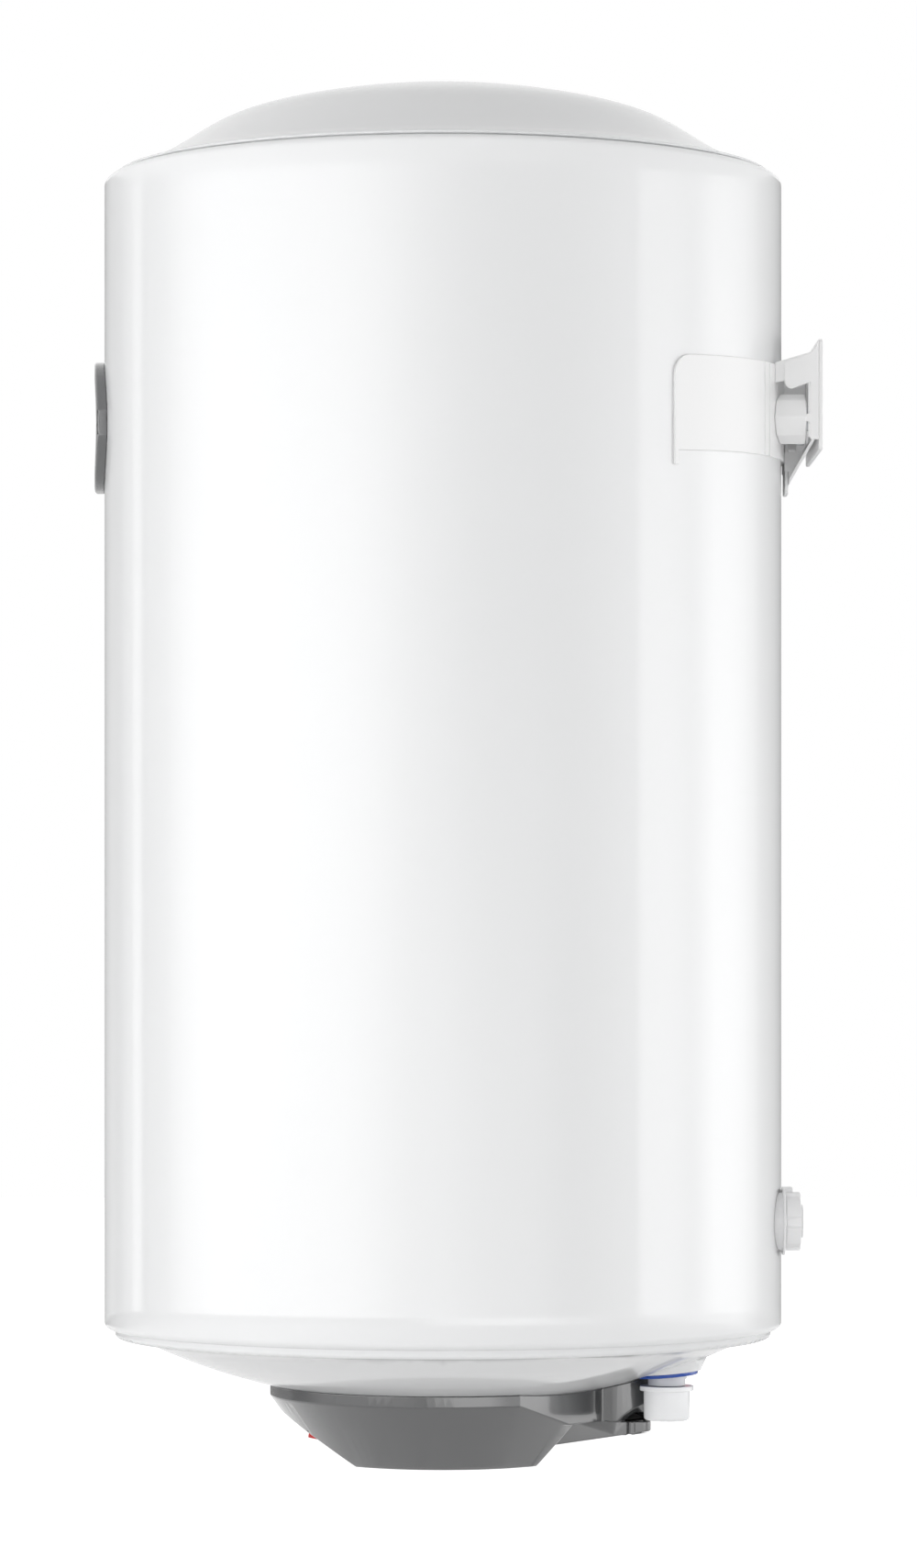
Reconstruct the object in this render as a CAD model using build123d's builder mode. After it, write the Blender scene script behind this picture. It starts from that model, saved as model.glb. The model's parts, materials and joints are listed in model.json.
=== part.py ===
from build123d import *
import math
import os

os.makedirs("parts", exist_ok=True)

# A wall-hung electric storage water heater with an upright drum, all sizes in millimetres.
# The origin is on the wall, midway between the two hanging slots. +Z is up and the front faces -Y.
# Places named x, y and z below are measured from the drum's axis and from the height of the slots.

# Drum and its distance from the wall
jacket_r = 225.0
jacket_wall = 0.8
jacket_top = 123.2
jacket_bottom = -638.0
jacket_roll_r = 4.6
jacket_lip_width = 11.0
jacket_lip_r = jacket_r - jacket_lip_width
wall_space = 23.5
axis_to_wall = jacket_r + wall_space
drum_y = -axis_to_wall

# Top cap: a plastic dome that clips inside the jacket's upper lip
cap_wall = 2.5
cap_skirt_depth = 8.0
cap_skirt_gap = 0.3
rim_inset = 7.0
top_rim_r = jacket_r - rim_inset
top_rim_height = 2.4
crown_rise = 58.4
# Share of the rim's radius and of the crown's rise, at four places from the crown outwards
dome_form = ((0.275, 0.952), (0.505, 0.805), (0.688, 0.589), (0.826, 0.277))
dome_edge_slope = 0.2

# Bottom cap: a bead below the jacket, a narrow land and a shallow dish with an open middle
bead_r = jacket_r - rim_inset
bead_round_r = 3.0
bead_depth = 6.0
land_width = 18.0
land_r = bead_r - land_width
land_drop = 1.5
dish_mid_r = 160.7
dish_mid_drop = 16.6
dish_mouth_r = 100.0
dish_drop = 32.8

# Tank and its lining space
foam_thickness = 20.0
tank_r = jacket_r - foam_thickness
tank_wall = 1.8
tank_head_rise = 55.0
tank_knuckle_r = 25.0
tank_seam_high = 95.0
tank_seam_low = -600.0
foam_gap = 0.3

# Service flange at the bottom of the tank
collar_r = 60.0
collar_bore_r = 45.0
collar_inside = 6.0
collar_height = 16.0
gasket_thickness = 3.0
flange_thickness = 5.0
stud_circle_r = 52.5
stud_count = 6
stud_r = 4.0
stud_length = 22.0
stud_tip = 2.0
nut_across_r = 7.4
nut_height = 6.5

# Heating element, thermostat pocket and anode, which stand on the flange
element_tube_r = 4.25
element_leg_x = 20.0
element_y = 14.0
element_height = 330.0
element_tail = 16.0
element_bend_gap = 0.1
pocket_y = -22.0
pocket_r = 6.0
pocket_wall = 1.0
pocket_height = 280.0
anode_y = 27.0
anode_r = 11.0
anode_length = 220.0
anode_lift = 8.0
anode_stud_r = 2.5
anode_tail = 12.0

# Thermostat below the flange
thermostat_width = 34.0
thermostat_depth = 26.0
thermostat_height = 34.0
spindle_r = 3.0
spindle_length = 6.0
spindle_depth = 8.0
button_r = 2.5
button_proud = 3.0
button_depth = 8.0
button_place = (10.0, -30.0)
button_travel = 1.5
running_gap = 0.05
part_gap = 0.3

# Water pipes, half inch thread, one each side of the middle
pipe_x = 50.0
pipe_y = 147.0
pipe_r = 10.48
pipe_bore_r = 8.0
pipe_drop = 55.0
pipe_end = jacket_bottom - pipe_drop
bush_r = 12.2
thread_length = 20.0
bush_end = pipe_end + thread_length
ring_r = 20.5
ring_thickness = 2.5
ring_drop = 26.5
ring_face = jacket_bottom - ring_drop
ring_tilt = 4.7
pad_foot_r = 22.5
pad_head_r = 27.0
pad_height = 8.0
pad_back_r = 31.0
pad_back_thickness = 3.0
recess_r = 30.0
recess_depth = 8.0
diffuser_r = 14.0
diffuser_height = 26.0
diffuser_gap = 1.0
dip_tube_r = 7.9
dip_tube_gap = 6.0
protector_flange_r = 17.65
protector_flange_top = bush_end
protector_flange_thickness = 3.2
protector_r = 15.1
protector_end_wall = 3.0
protector_end = pipe_end - protector_end_wall
protector_round_r = 2.5

# Grey underside cover: a band, a cone, a flat floor and a neck that runs back between the pipes
cover_wall = 2.5
band_r = 115.0
band_height = 45.0
band_low = jacket_bottom - band_height
cone_low_r = 84.5
cone_height = 41.0
cone_low = band_low - cone_height
floor_step = 2.0
cover_floor = cone_low - floor_step
floor_r = 82.5
waist_y = 50.0
waist_low_y = 41.5
neck_x = 38.0
neck_y = 105.0
neck_bulge = 1.5
neck_back_x = 34.0
neck_back_y = 136.0
neck_drop = 15.0
neck_low = band_low - neck_drop
crease_x = 62.0
crease_y = 86.0
rear_foot_y = 63.0
tunnel_x = 38.0
tunnel_front_y = 66.0
tunnel_back_y = 137.2
tunnel_front_rise = 9.3
tunnel_front_low = cone_low + tunnel_front_rise
tunnel_back_drop = 6.4
tunnel_back_low = neck_low - tunnel_back_drop
tunnel_corner_r = 5.0
slope_foot_y = -57.0
slope_head_y = -102.0
slope_head_drop = 13.0
slope_head = band_low - slope_head_drop
rib_y = 124.0
rib_r = 2.5
standoff_r = 4.5
screw_pocket_r = 5.0
screw_pocket_depth = 5.0
screw_r = 2.0
screw_length = 14.0
screw_head_r = 4.0
screw_head_height = 2.2

# Rocker switch on the cover's front slope
bezel_length = 21.0
bezel_width = 15.0
bezel_thickness = 2.5
switch_wall = 1.2
switch_depth = 17.0
switch_body_width = 13.0
switch_body_length = 18.8
switch_place_y = -81.0
rocker_r = 7.9
rocker_end_height = 3.4
rocker_waist_height = 2.2
rocker_cut = 4.0
rocker_rest_tilt = 12.0
rocker_pin_r = 0.9
rocker_pin_length = 0.8
rocker_lift = 1.2

# Cable gland at the back of the neck, terminal block and inside wires
gland_r = 8.0
gland_bore_r = 4.0
gland_rise = 11.5
gland_z = neck_low + gland_rise
gland_flange_r = 10.5
gland_flange_thickness = 5.0
gland_nut_thickness = 4.0
block_width = 40.0
block_depth = 16.0
block_height = 14.0
block_y = 44.0
earth_place = (-34.0, -10.0)
earth_r = 2.5
earth_length = 16.0
wire_r = 1.25
wire_bend_r = 4.0

# Thermometer on the front of the drum
badge_z = -40.0
badge_r = 43.5
badge_depth = 6.5
badge_round_r = 1.6
badge_flat_height = 27.0
badge_flat_depth = 0.8
window_r = 34.0
ledge_r = 30.0
dial_lift = 0.4
dial_back = jacket_r + dial_lift
dial_thickness = 1.0
dial_gap = 0.2
needle_thickness = 0.5
needle_length = 25.0
needle_tail = 8.0
needle_width = 2.4
needle_rest = 125.0
hub_r = 3.5
lens_lift = 2.7
lens_back = jacket_r + lens_lift
lens_thickness = 1.1
stem_r = 4.0
needle_pin_r = 1.0
needle_pin_depth = 14.0

# Wall bracket: a band round the back of the drum, cheeks, and a plate with two hanging slots
strap_wall = 2.0
wing_angle = 49.5
wing_top = -9.0
wing_bottom = -70.0
wing_slope = 4.0
wing_y = 146.0
wing_corner_r = 14.0
tail_angle = 0.9
tail_depth = 9.0
plate_half_width = 66.0
plate_top = 12.3
plate_bottom = -60.2
plate_thickness = 2.5
slot_x = 45.0
slot_length = 24.0
slot_width = 10.0
cheek_wall = 2.0
cheek_root_depth = 11.0
cheek_root_y = jacket_r - cheek_root_depth
cheek_root_top = -4.0
cheek_shoulder_width = 8.5
cheek_shoulder_y = axis_to_wall - cheek_shoulder_width
cheek_shoulder_top = 3.5
cheek_strip_width = 9.5
cheek_strip_y = axis_to_wall - cheek_strip_width
cheek_strip_top = -12.0
cheek_root_low = -17.0
cheek_low = -52.0
bracket_corner_r = 3.0
brace_low = -79.0
brace_high = -49.0
web_top = -57.0
tongue_half_width = 12.0
tongue_thickness = 2.5
tongue_top = -52.0
tongue_bottom = -85.0
boss_x = 51.5
boss_z = -39.0
boss_r = 16.5
boss_wall_gap = 10.5
boss_end_y = axis_to_wall - boss_wall_gap
boss_sides = 8
bolt_r = 5.0
bolt_head_r = 8.5
bolt_head_height = 6.4
bolt_tip_gap = 1.3
socket_r = 11.0
lug_r = 14.0

# Lower wall spacers, which screw out to meet the wall
spacer_x = 40.0
spacer_z = -566.0
spacer_flange_r = 22.35
spacer_flange_thickness = 1.6
spacer_base_r = 19.0
spacer_travel = 11.5
sleeve_r = 7.5
sleeve_length = 14.5
sleeve_end_y = jacket_r - sleeve_length
shaft_r = 5.0
shaft_end_gap = 1.5
shaft_end_y = sleeve_end_y + shaft_end_gap
knob_r = 18.2
knob_lobe_r = 3.2
knob_lobes = 12
pad_r = 11.0
pad_thickness = 1.5

CORNER = (Align.MIN, Align.MIN)
overall_depth = 2 * jacket_r
overall_height = jacket_top - jacket_bottom
profile = Plane((0, drum_y, 0), x_dir=(1, 0, 0), z_dir=(0, -1, 0))
drum_axis = Axis((0, drum_y, 0), (0, 0, 1))
top_rim_z = jacket_top + top_rim_height
bead_z = jacket_bottom - bead_depth
tank_crown_r = (((tank_r - tank_knuckle_r) ** 2 + tank_head_rise ** 2 - tank_knuckle_r ** 2)
                / (2 * (tank_head_rise - tank_knuckle_r)))
tank_knuckle_turn = math.degrees(math.acos((tank_r - tank_knuckle_r)
                                           / (tank_crown_r - tank_knuckle_r)))
sides = {"left": -1, "right": 1}


def level(z, x=0.0, y=0.0):
    """A level plane at height z, with its origin at x and y from the drum's axis."""
    return Plane((x, drum_y + y, z))


def towards_front(y, x=0.0, z=0.0):
    """An upright plane that faces the front, at a distance y in front of the drum's axis."""
    return Plane((x, drum_y - y, z), x_dir=(1, 0, 0), z_dir=(0, -1, 0))


def towards_wall(y, x=0.0, z=0.0):
    """An upright plane that faces the wall, at a distance y behind the drum's axis."""
    return Plane((x, drum_y + y, z), x_dir=(-1, 0, 0), z_dir=(0, 1, 0))


def side_view(x):
    """An upright plane seen from +X, whose own x is y from the drum's axis."""
    return Plane((x, drum_y, 0), x_dir=(0, 1, 0), z_dir=(1, 0, 0))


def disc(plane, radius, length, mode=Mode.ADD):
    """A round bar from a plane, added to or cut from the part that is being made."""
    with BuildSketch(plane) as outline:
        Circle(radius)
    extrude(outline.sketch, amount=length, mode=mode)


def tube(plane, radius, bore_r, length):
    """A round tube from a plane."""
    with BuildSketch(plane) as outline:
        Circle(radius)
        Circle(bore_r, mode=Mode.SUBTRACT)
    extrude(outline.sketch, amount=length)


def drum_core(radius, mode):
    """A cylinder on the drum's axis, as tall as the drum, cut from or shared with the part."""
    disc(level(jacket_bottom), radius, overall_height, mode=mode)


def dome_region(drop, reach, floor):
    """Half section under the top cap's outer curve, lowered by drop, out to a radius of reach."""
    with BuildSketch(profile) as region:
        with BuildLine():
            crown = (0, top_rim_z + crown_rise - drop)
            rim = (top_rim_r, top_rim_z - drop)
            between = [(share * top_rim_r, top_rim_z + rise * crown_rise - drop)
                       for share, rise in dome_form]
            Spline(crown, *between, rim, tangents=[(1, 0), (1, -dome_edge_slope)])
            Polyline(rim, (top_rim_r, floor), (0, floor), crown)
        make_face()
        with Locations((reach, floor)):
            Rectangle(jacket_r, 2 * overall_height, align=(Align.MIN, Align.CENTER),
                      mode=Mode.SUBTRACT)
    return region.sketch


def dish_region(lift, reach, ceiling):
    """Half section above the bottom cap's outer curve, raised by lift, out to a radius of reach."""
    land = bead_z - land_drop + lift
    with BuildSketch(profile) as region:
        with BuildLine():
            Line((bead_r, ceiling), (bead_r, bead_z + bead_round_r + lift))
            RadiusArc((bead_r, bead_z + bead_round_r + lift),
                      (bead_r - bead_round_r, bead_z + lift), bead_round_r)
            Line((bead_r - bead_round_r, bead_z + lift), (land_r, land))
            ThreePointArc((land_r, land), (dish_mid_r, land - dish_mid_drop),
                          (dish_mouth_r, land - dish_drop))
            Polyline((dish_mouth_r, land - dish_drop), (dish_mouth_r, ceiling), (bead_r, ceiling))
        make_face()
        with Locations((reach, ceiling)):
            Rectangle(jacket_r, 2 * overall_height, align=(Align.MIN, Align.CENTER),
                      mode=Mode.SUBTRACT)
    return region.sketch


def tank_region(inset):
    """Half section of the tank, a straight wall between two heads with a rounded knuckle."""
    turn = math.radians(tank_knuckle_turn)
    joint_r = tank_r - tank_knuckle_r + (tank_knuckle_r - inset) * math.cos(turn)
    joint_rise = (tank_knuckle_r - inset) * math.sin(turn)
    crown_rise_here = tank_head_rise - inset
    with BuildSketch(profile) as region:
        with BuildLine():
            for seam, way in ((tank_seam_high, 1), (tank_seam_low, -1)):
                RadiusArc((tank_r - inset, seam), (joint_r, seam + way * joint_rise),
                          -way * (tank_knuckle_r - inset))
                RadiusArc((joint_r, seam + way * joint_rise), (0, seam + way * crown_rise_here),
                          -way * (tank_crown_r - inset))
            Line((0, tank_seam_high + crown_rise_here), (0, tank_seam_low - crown_rise_here))
            Line((tank_r - inset, tank_seam_low), (tank_r - inset, tank_seam_high))
        make_face()
    return region.sketch


def head_rise(r):
    """Height of the tank's head above its seam at a distance r from the axis."""
    return tank_head_rise - tank_crown_r + math.sqrt(tank_crown_r ** 2 - r ** 2)


collar_high = tank_seam_low - head_rise(collar_r) + collar_inside
collar_low = collar_high - collar_height
flange_top = collar_low - gasket_thickness
flange_bottom = flange_top - flange_thickness
pipe_place_r = math.hypot(pipe_x, pipe_y)
bush_top = tank_seam_low - head_rise(pipe_place_r - bush_r) - part_gap
pipe_root = tank_seam_low - head_rise(pipe_place_r + diffuser_r) + tank_wall + diffuser_gap
dip_tube_top = tank_seam_high + head_rise(pipe_place_r + dip_tube_r) - tank_wall - dip_tube_gap


def ring_region(inner_r, outer_r, low, high):
    """Half section of a plain ring about the drum's axis."""
    with BuildSketch(profile) as region:
        with Locations((inner_r, low)):
            Rectangle(outer_r - inner_r, high - low, align=CORNER)
    return region.sketch


# Casing

with BuildPart() as outer_jacket:
    with BuildSketch(profile):
        with Locations((0, jacket_bottom)):
            Rectangle(jacket_r, overall_height, align=CORNER)
        fillet(vertices().group_by(Axis.X)[-1], jacket_roll_r)
        offset(amount=-jacket_wall, mode=Mode.SUBTRACT)
        with Locations((0, jacket_bottom)):
            Rectangle(jacket_lip_r, overall_height, align=CORNER, mode=Mode.SUBTRACT)
    revolve(axis=drum_axis)
    disc(towards_front(0, z=badge_z), stem_r + part_gap, overall_depth, mode=Mode.SUBTRACT)
    for side in sides.values():
        disc(towards_wall(0, side * boss_x, boss_z), bolt_r + part_gap, overall_depth,
             mode=Mode.SUBTRACT)
        disc(towards_wall(0, side * spacer_x, spacer_z), sleeve_r + part_gap, overall_depth,
             mode=Mode.SUBTRACT)
outer_jacket.part.label = "outer_jacket"
export_step(outer_jacket.part, "parts/outer_jacket.step")

skirt_r = jacket_lip_r - cap_skirt_gap
skirt_inner_r = skirt_r - cap_wall

with BuildPart() as top_cap:
    revolve(dome_region(0, jacket_r, jacket_top), axis=drum_axis)
    revolve(ring_region(0, skirt_r, jacket_top - cap_skirt_depth, jacket_top), axis=drum_axis)
    revolve(dome_region(cap_wall, skirt_inner_r, jacket_top - cap_skirt_depth), axis=drum_axis,
            mode=Mode.SUBTRACT)
top_cap.part.label = "top_cap"
export_step(top_cap.part, "parts/top_cap.step")


def ring_plane(side, lift=0.0):
    """The tilted plane of a pipe's coloured ring, which faces down and a little forward."""
    tilt = math.radians(ring_tilt)
    return Plane((side * pipe_x, drum_y + pipe_y, ring_face), x_dir=(1, 0, 0),
                 z_dir=(0, math.sin(tilt), -math.cos(tilt))).offset(-lift)


def pipe_pad(side, low_r, high_r, low, high):
    """A round taper about a pipe, between two distances above the plane of its ring."""
    with BuildPart() as pad:
        with BuildSketch(ring_plane(side, low)):
            Circle(low_r)
        with BuildSketch(ring_plane(side, high)):
            Circle(high_r)
        loft()
    return pad.part


pads = [pipe_pad(side, pad_foot_r, pad_head_r, 0, pad_height) for side in sides.values()]
pad_backs = [pipe_pad(side, pad_back_r, pad_back_r, 0, pad_back_thickness)
             for side in sides.values()]
recesses = [pipe_pad(side, recess_r, pad_foot_r, -recess_depth, 0) for side in sides.values()]

with BuildPart() as pad_backing:
    revolve(dish_region(0, skirt_inner_r, jacket_bottom), axis=drum_axis)
    with BuildPart(mode=Mode.INTERSECT):
        add(pad_backs)

with BuildPart() as bottom_cap:
    revolve(dish_region(0, jacket_r, jacket_bottom), axis=drum_axis)
    revolve(ring_region(dish_mouth_r, skirt_r, jacket_bottom, jacket_bottom + cap_skirt_depth),
            axis=drum_axis)
    revolve(dish_region(cap_wall, skirt_inner_r, jacket_bottom + cap_skirt_depth), axis=drum_axis,
            mode=Mode.SUBTRACT)
    add(pads)
    add(pad_backing.part)
    add(recesses, mode=Mode.SUBTRACT)
    for side in sides.values():
        disc(level(cover_floor, side * pipe_x, pipe_y), bush_r + part_gap,
             jacket_bottom - cover_floor, mode=Mode.SUBTRACT)
bottom_cap.part.label = "bottom_cap"
export_step(bottom_cap.part, "parts/bottom_cap.step")

# Tank and insulation

with BuildPart() as tank_shell:
    revolve(tank_region(0), axis=drum_axis)
    revolve(tank_region(tank_wall), axis=drum_axis, mode=Mode.SUBTRACT)
    disc(level(cover_floor), collar_r, tank_seam_low - cover_floor, mode=Mode.SUBTRACT)
    for side in sides.values():
        disc(level(cover_floor, side * pipe_x, pipe_y), pipe_r, tank_seam_low - cover_floor,
             mode=Mode.SUBTRACT)
tank_shell.part.label = "tank_shell"
export_step(tank_shell.part, "parts/tank_shell.step")

foam_r = skirt_inner_r - foam_gap
foam_high = jacket_top - cap_skirt_depth - foam_gap
foam_low = jacket_bottom + cap_skirt_depth + foam_gap
foam_open_top = ring_face + pad_height + pad_back_thickness

with BuildPart() as insulation_foam:
    revolve(ring_region(0, jacket_r - jacket_wall, foam_low, foam_high), axis=drum_axis)
    revolve(dome_region(cap_wall + foam_gap, foam_r, foam_high), axis=drum_axis)
    revolve(dish_region(cap_wall + foam_gap, foam_r, foam_low), axis=drum_axis)
    revolve(tank_region(0), axis=drum_axis, mode=Mode.SUBTRACT)
    disc(level(cover_floor), dish_mouth_r, tank_seam_low - cover_floor, mode=Mode.SUBTRACT)
    disc(towards_front(0, z=badge_z), stem_r, overall_depth, mode=Mode.SUBTRACT)
    for side in sides.values():
        disc(level(cover_floor, side * pipe_x, pipe_y), pad_back_r + foam_gap,
             foam_open_top - cover_floor, mode=Mode.SUBTRACT)
        disc(level(cover_floor, side * pipe_x, pipe_y), bush_r, tank_seam_low - cover_floor,
             mode=Mode.SUBTRACT)
        disc(towards_wall(0, side * boss_x, boss_z), lug_r, overall_depth, mode=Mode.SUBTRACT)
        disc(towards_wall(0, side * spacer_x, spacer_z), sleeve_r, overall_depth,
             mode=Mode.SUBTRACT)
insulation_foam.part.label = "insulation_foam"
export_step(insulation_foam.part, "parts/insulation_foam.step")

with BuildPart() as tank_lugs:
    for side in sides.values():
        tube(towards_wall(0, side * boss_x, boss_z), lug_r, bolt_r + running_gap, overall_depth)
    drum_core(tank_r, Mode.SUBTRACT)
    drum_core(jacket_r - jacket_wall, Mode.INTERSECT)
tank_lugs.part.label = "tank_lugs"
export_step(tank_lugs.part, "parts/tank_lugs.step")

# Service flange with what stands on it


def stud_places(skip_side):
    """Stud places round the flange: the two at the sides, or all the others."""
    step = 360 / stud_count
    angles = [index * step for index in range(stud_count)]
    at_side = [angle for angle in angles if angle % 180 == 0]
    chosen = [angle for angle in angles if angle not in at_side] if skip_side else at_side
    return [(stud_circle_r * math.cos(math.radians(a)), stud_circle_r * math.sin(math.radians(a)))
            for a in chosen]


all_studs = stud_places(True) + stud_places(False)
stud_top = flange_bottom + stud_length

with BuildPart() as flange_collar:
    tube(level(collar_low), collar_r, collar_bore_r, collar_high - collar_low)
    for x, y in all_studs:
        disc(level(collar_low, x, y), stud_r, stud_top - collar_low, mode=Mode.SUBTRACT)
flange_collar.part.label = "flange_collar"
export_step(flange_collar.part, "parts/flange_collar.step")

with BuildPart() as flange_gasket:
    tube(level(flange_top), collar_r, collar_bore_r, gasket_thickness)
    for x, y in all_studs:
        disc(level(flange_top, x, y), stud_r + part_gap, gasket_thickness, mode=Mode.SUBTRACT)
flange_gasket.part.label = "flange_gasket"
export_step(flange_gasket.part, "parts/flange_gasket.step")

with BuildPart() as flange_plate:
    disc(level(flange_bottom), collar_r, flange_thickness)
    for x, y in all_studs:
        disc(level(flange_bottom, x, y), stud_r + part_gap, flange_thickness, mode=Mode.SUBTRACT)
    for side in sides.values():
        disc(level(flange_bottom, side * element_leg_x, element_y), element_tube_r,
             flange_thickness, mode=Mode.SUBTRACT)
    disc(level(flange_bottom, y=pocket_y), pocket_r, flange_thickness, mode=Mode.SUBTRACT)
    disc(level(flange_bottom, y=anode_y), anode_stud_r, flange_thickness, mode=Mode.SUBTRACT)
    disc(level(flange_bottom, *earth_place), earth_r, flange_thickness, mode=Mode.SUBTRACT)
flange_plate.part.label = "flange_plate"
export_step(flange_plate.part, "parts/flange_plate.step")

with BuildPart() as flange_nuts:
    for x, y in stud_places(True):
        disc(level(flange_bottom - nut_height - stud_tip, x, y), stud_r,
             stud_length + nut_height + stud_tip)
        with BuildSketch(level(flange_bottom - nut_height, x, y)):
            RegularPolygon(nut_across_r, 6)
        extrude(amount=nut_height)
flange_nuts.part.label = "flange_nuts"
export_step(flange_nuts.part, "parts/flange_nuts.step")

standoff_low = cover_floor + screw_pocket_depth + cover_wall

with BuildPart() as cover_standoffs:
    for x, y in stud_places(False):
        disc(level(flange_bottom, x, y), stud_r, stud_length)
        disc(level(standoff_low, x, y), standoff_r, flange_bottom - standoff_low)
        disc(level(standoff_low, x, y), screw_r, screw_length, mode=Mode.SUBTRACT)
cover_standoffs.part.label = "cover_standoffs"
export_step(cover_standoffs.part, "parts/cover_standoffs.step")

with BuildPart() as heating_element:
    element_low = flange_bottom - element_tail
    with BuildLine() as element_route:
        FilletPolyline((-element_leg_x, drum_y + element_y, element_low),
                       (-element_leg_x, drum_y + element_y, flange_top + element_height),
                       (element_leg_x, drum_y + element_y, flange_top + element_height),
                       (element_leg_x, drum_y + element_y, element_low),
                       radius=element_leg_x - element_bend_gap)
    with BuildSketch(level(element_low, -element_leg_x, element_y)):
        Circle(element_tube_r)
    sweep(path=element_route.wires()[0])
heating_element.part.label = "heating_element"
export_step(heating_element.part, "parts/heating_element.step")

with BuildPart() as thermostat_pocket:
    disc(level(flange_bottom, y=pocket_y), pocket_r, pocket_height)
    disc(level(flange_bottom, y=pocket_y), pocket_r - pocket_wall, pocket_height - pocket_wall,
         mode=Mode.SUBTRACT)
thermostat_pocket.part.label = "thermostat_pocket"
export_step(thermostat_pocket.part, "parts/thermostat_pocket.step")

thermostat_low = flange_bottom - thermostat_height

with BuildPart() as thermostat:
    with BuildSketch(level(thermostat_low, y=pocket_y)):
        RectangleRounded(thermostat_width, thermostat_depth, 2)
    extrude(amount=thermostat_height)
    disc(level(flange_bottom, y=pocket_y), pocket_r - pocket_wall - part_gap, pocket_height / 2)
    disc(level(thermostat_low, y=pocket_y), spindle_r + running_gap, spindle_depth,
         mode=Mode.SUBTRACT)
    disc(level(thermostat_low, *button_place), button_r + running_gap, button_depth + part_gap
         + button_travel, mode=Mode.SUBTRACT)
thermostat.part.label = "thermostat"
export_step(thermostat.part, "parts/thermostat.step")

with BuildPart() as thermostat_spindle:
    disc(level(thermostat_low - spindle_length, y=pocket_y), spindle_r,
         spindle_length + spindle_depth - part_gap)
    with BuildSketch(level(thermostat_low - spindle_length, y=pocket_y)):
        Rectangle(2 * spindle_r, spindle_r / 3)
    extrude(amount=spindle_length / 3, mode=Mode.SUBTRACT)
thermostat_spindle.part.label = "thermostat_spindle"
export_step(thermostat_spindle.part, "parts/thermostat_spindle.step")

with BuildPart() as reset_button:
    disc(level(thermostat_low - button_proud, *button_place), button_r, button_proud + button_depth)
    chamfer(edges().group_by(Axis.Z)[0], button_r / 4)
reset_button.part.label = "reset_button"
export_step(reset_button.part, "parts/reset_button.step")

with BuildPart() as anode_rod:
    disc(level(flange_top + anode_lift, y=anode_y), anode_r, anode_length)
    fillet(edges().group_by(Axis.Z)[-1], anode_r / 4)
    disc(level(flange_bottom - anode_tail, y=anode_y), anode_stud_r,
         flange_thickness + anode_tail + anode_lift)
anode_rod.part.label = "anode_rod"
export_step(anode_rod.part, "parts/anode_rod.step")

with BuildPart() as anode_nut:
    with BuildSketch(level(flange_bottom - nut_height, y=anode_y)):
        RegularPolygon(nut_across_r, 6)
        Circle(anode_stud_r, mode=Mode.SUBTRACT)
    extrude(amount=nut_height)
anode_nut.part.label = "anode_nut"
export_step(anode_nut.part, "parts/anode_nut.step")

with BuildPart() as earth_stud:
    disc(level(flange_bottom - earth_length, *earth_place), earth_r,
         earth_length + flange_thickness)
    with BuildSketch(level(flange_bottom - nut_height, *earth_place)):
        RegularPolygon(1.6 * earth_r, 6)
    extrude(amount=nut_height)
earth_stud.part.label = "earth_stud"
export_step(earth_stud.part, "parts/earth_stud.step")

# Water connections, the cold pipe on the right and the hot one on the left as seen from the front

names = {"left": "hot", "right": "cold"}
for hand, side in sides.items():
    name = names[hand]
    pipe_top = dip_tube_top if name == "hot" else pipe_root + diffuser_height / 2
    pipe_node = "hot_outlet_pipe" if name == "hot" else "cold_inlet_pipe"
    with BuildPart() as pipe:
        tube(level(pipe_end, side * pipe_x, pipe_y), pipe_r, pipe_bore_r, pipe_root - pipe_end)
        tube(level(pipe_root, side * pipe_x, pipe_y), pipe_r, dip_tube_r - 1, diffuser_height / 2)
        if name == "hot":
            tube(level(pipe_root, side * pipe_x, pipe_y), dip_tube_r, dip_tube_r - 1,
                 dip_tube_top - pipe_root)
    pipe.part.label = pipe_node
    export_step(pipe.part, f"parts/{pipe_node}.step")

    with BuildPart() as bush:
        tube(level(bush_end, side * pipe_x, pipe_y), bush_r, pipe_r, bush_top - bush_end)
    bush.part.label = f"{name}_bush"
    export_step(bush.part, f"parts/{name}_bush.step")

    with BuildPart() as ring:
        disc(ring_plane(side), ring_r, ring_thickness)
        fillet(edges().sort_by(Axis.Z)[0], ring_thickness / 3)
        disc(level(cover_floor, side * pipe_x, pipe_y), bush_r + running_gap,
             jacket_bottom - cover_floor, mode=Mode.SUBTRACT)
    ring.part.label = f"{name}_ring"
    export_step(ring.part, f"parts/{name}_ring.step")

    with BuildPart() as protector:
        disc(level(protector_end, side * pipe_x, pipe_y), protector_r,
             protector_flange_top - protector_end - part_gap)
        fillet(edges().group_by(Axis.Z)[0], protector_round_r)
        flange_low = protector_flange_top - protector_flange_thickness - part_gap
        disc(level(flange_low, side * pipe_x, pipe_y), protector_flange_r,
             protector_flange_thickness)
        disc(level(pipe_end - part_gap, side * pipe_x, pipe_y), pipe_r + running_gap,
             protector_flange_top - pipe_end, mode=Mode.SUBTRACT)
    protector.part.label = f"{name}_pipe_cap"
    export_step(protector.part, f"parts/{name}_pipe_cap.step")

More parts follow.
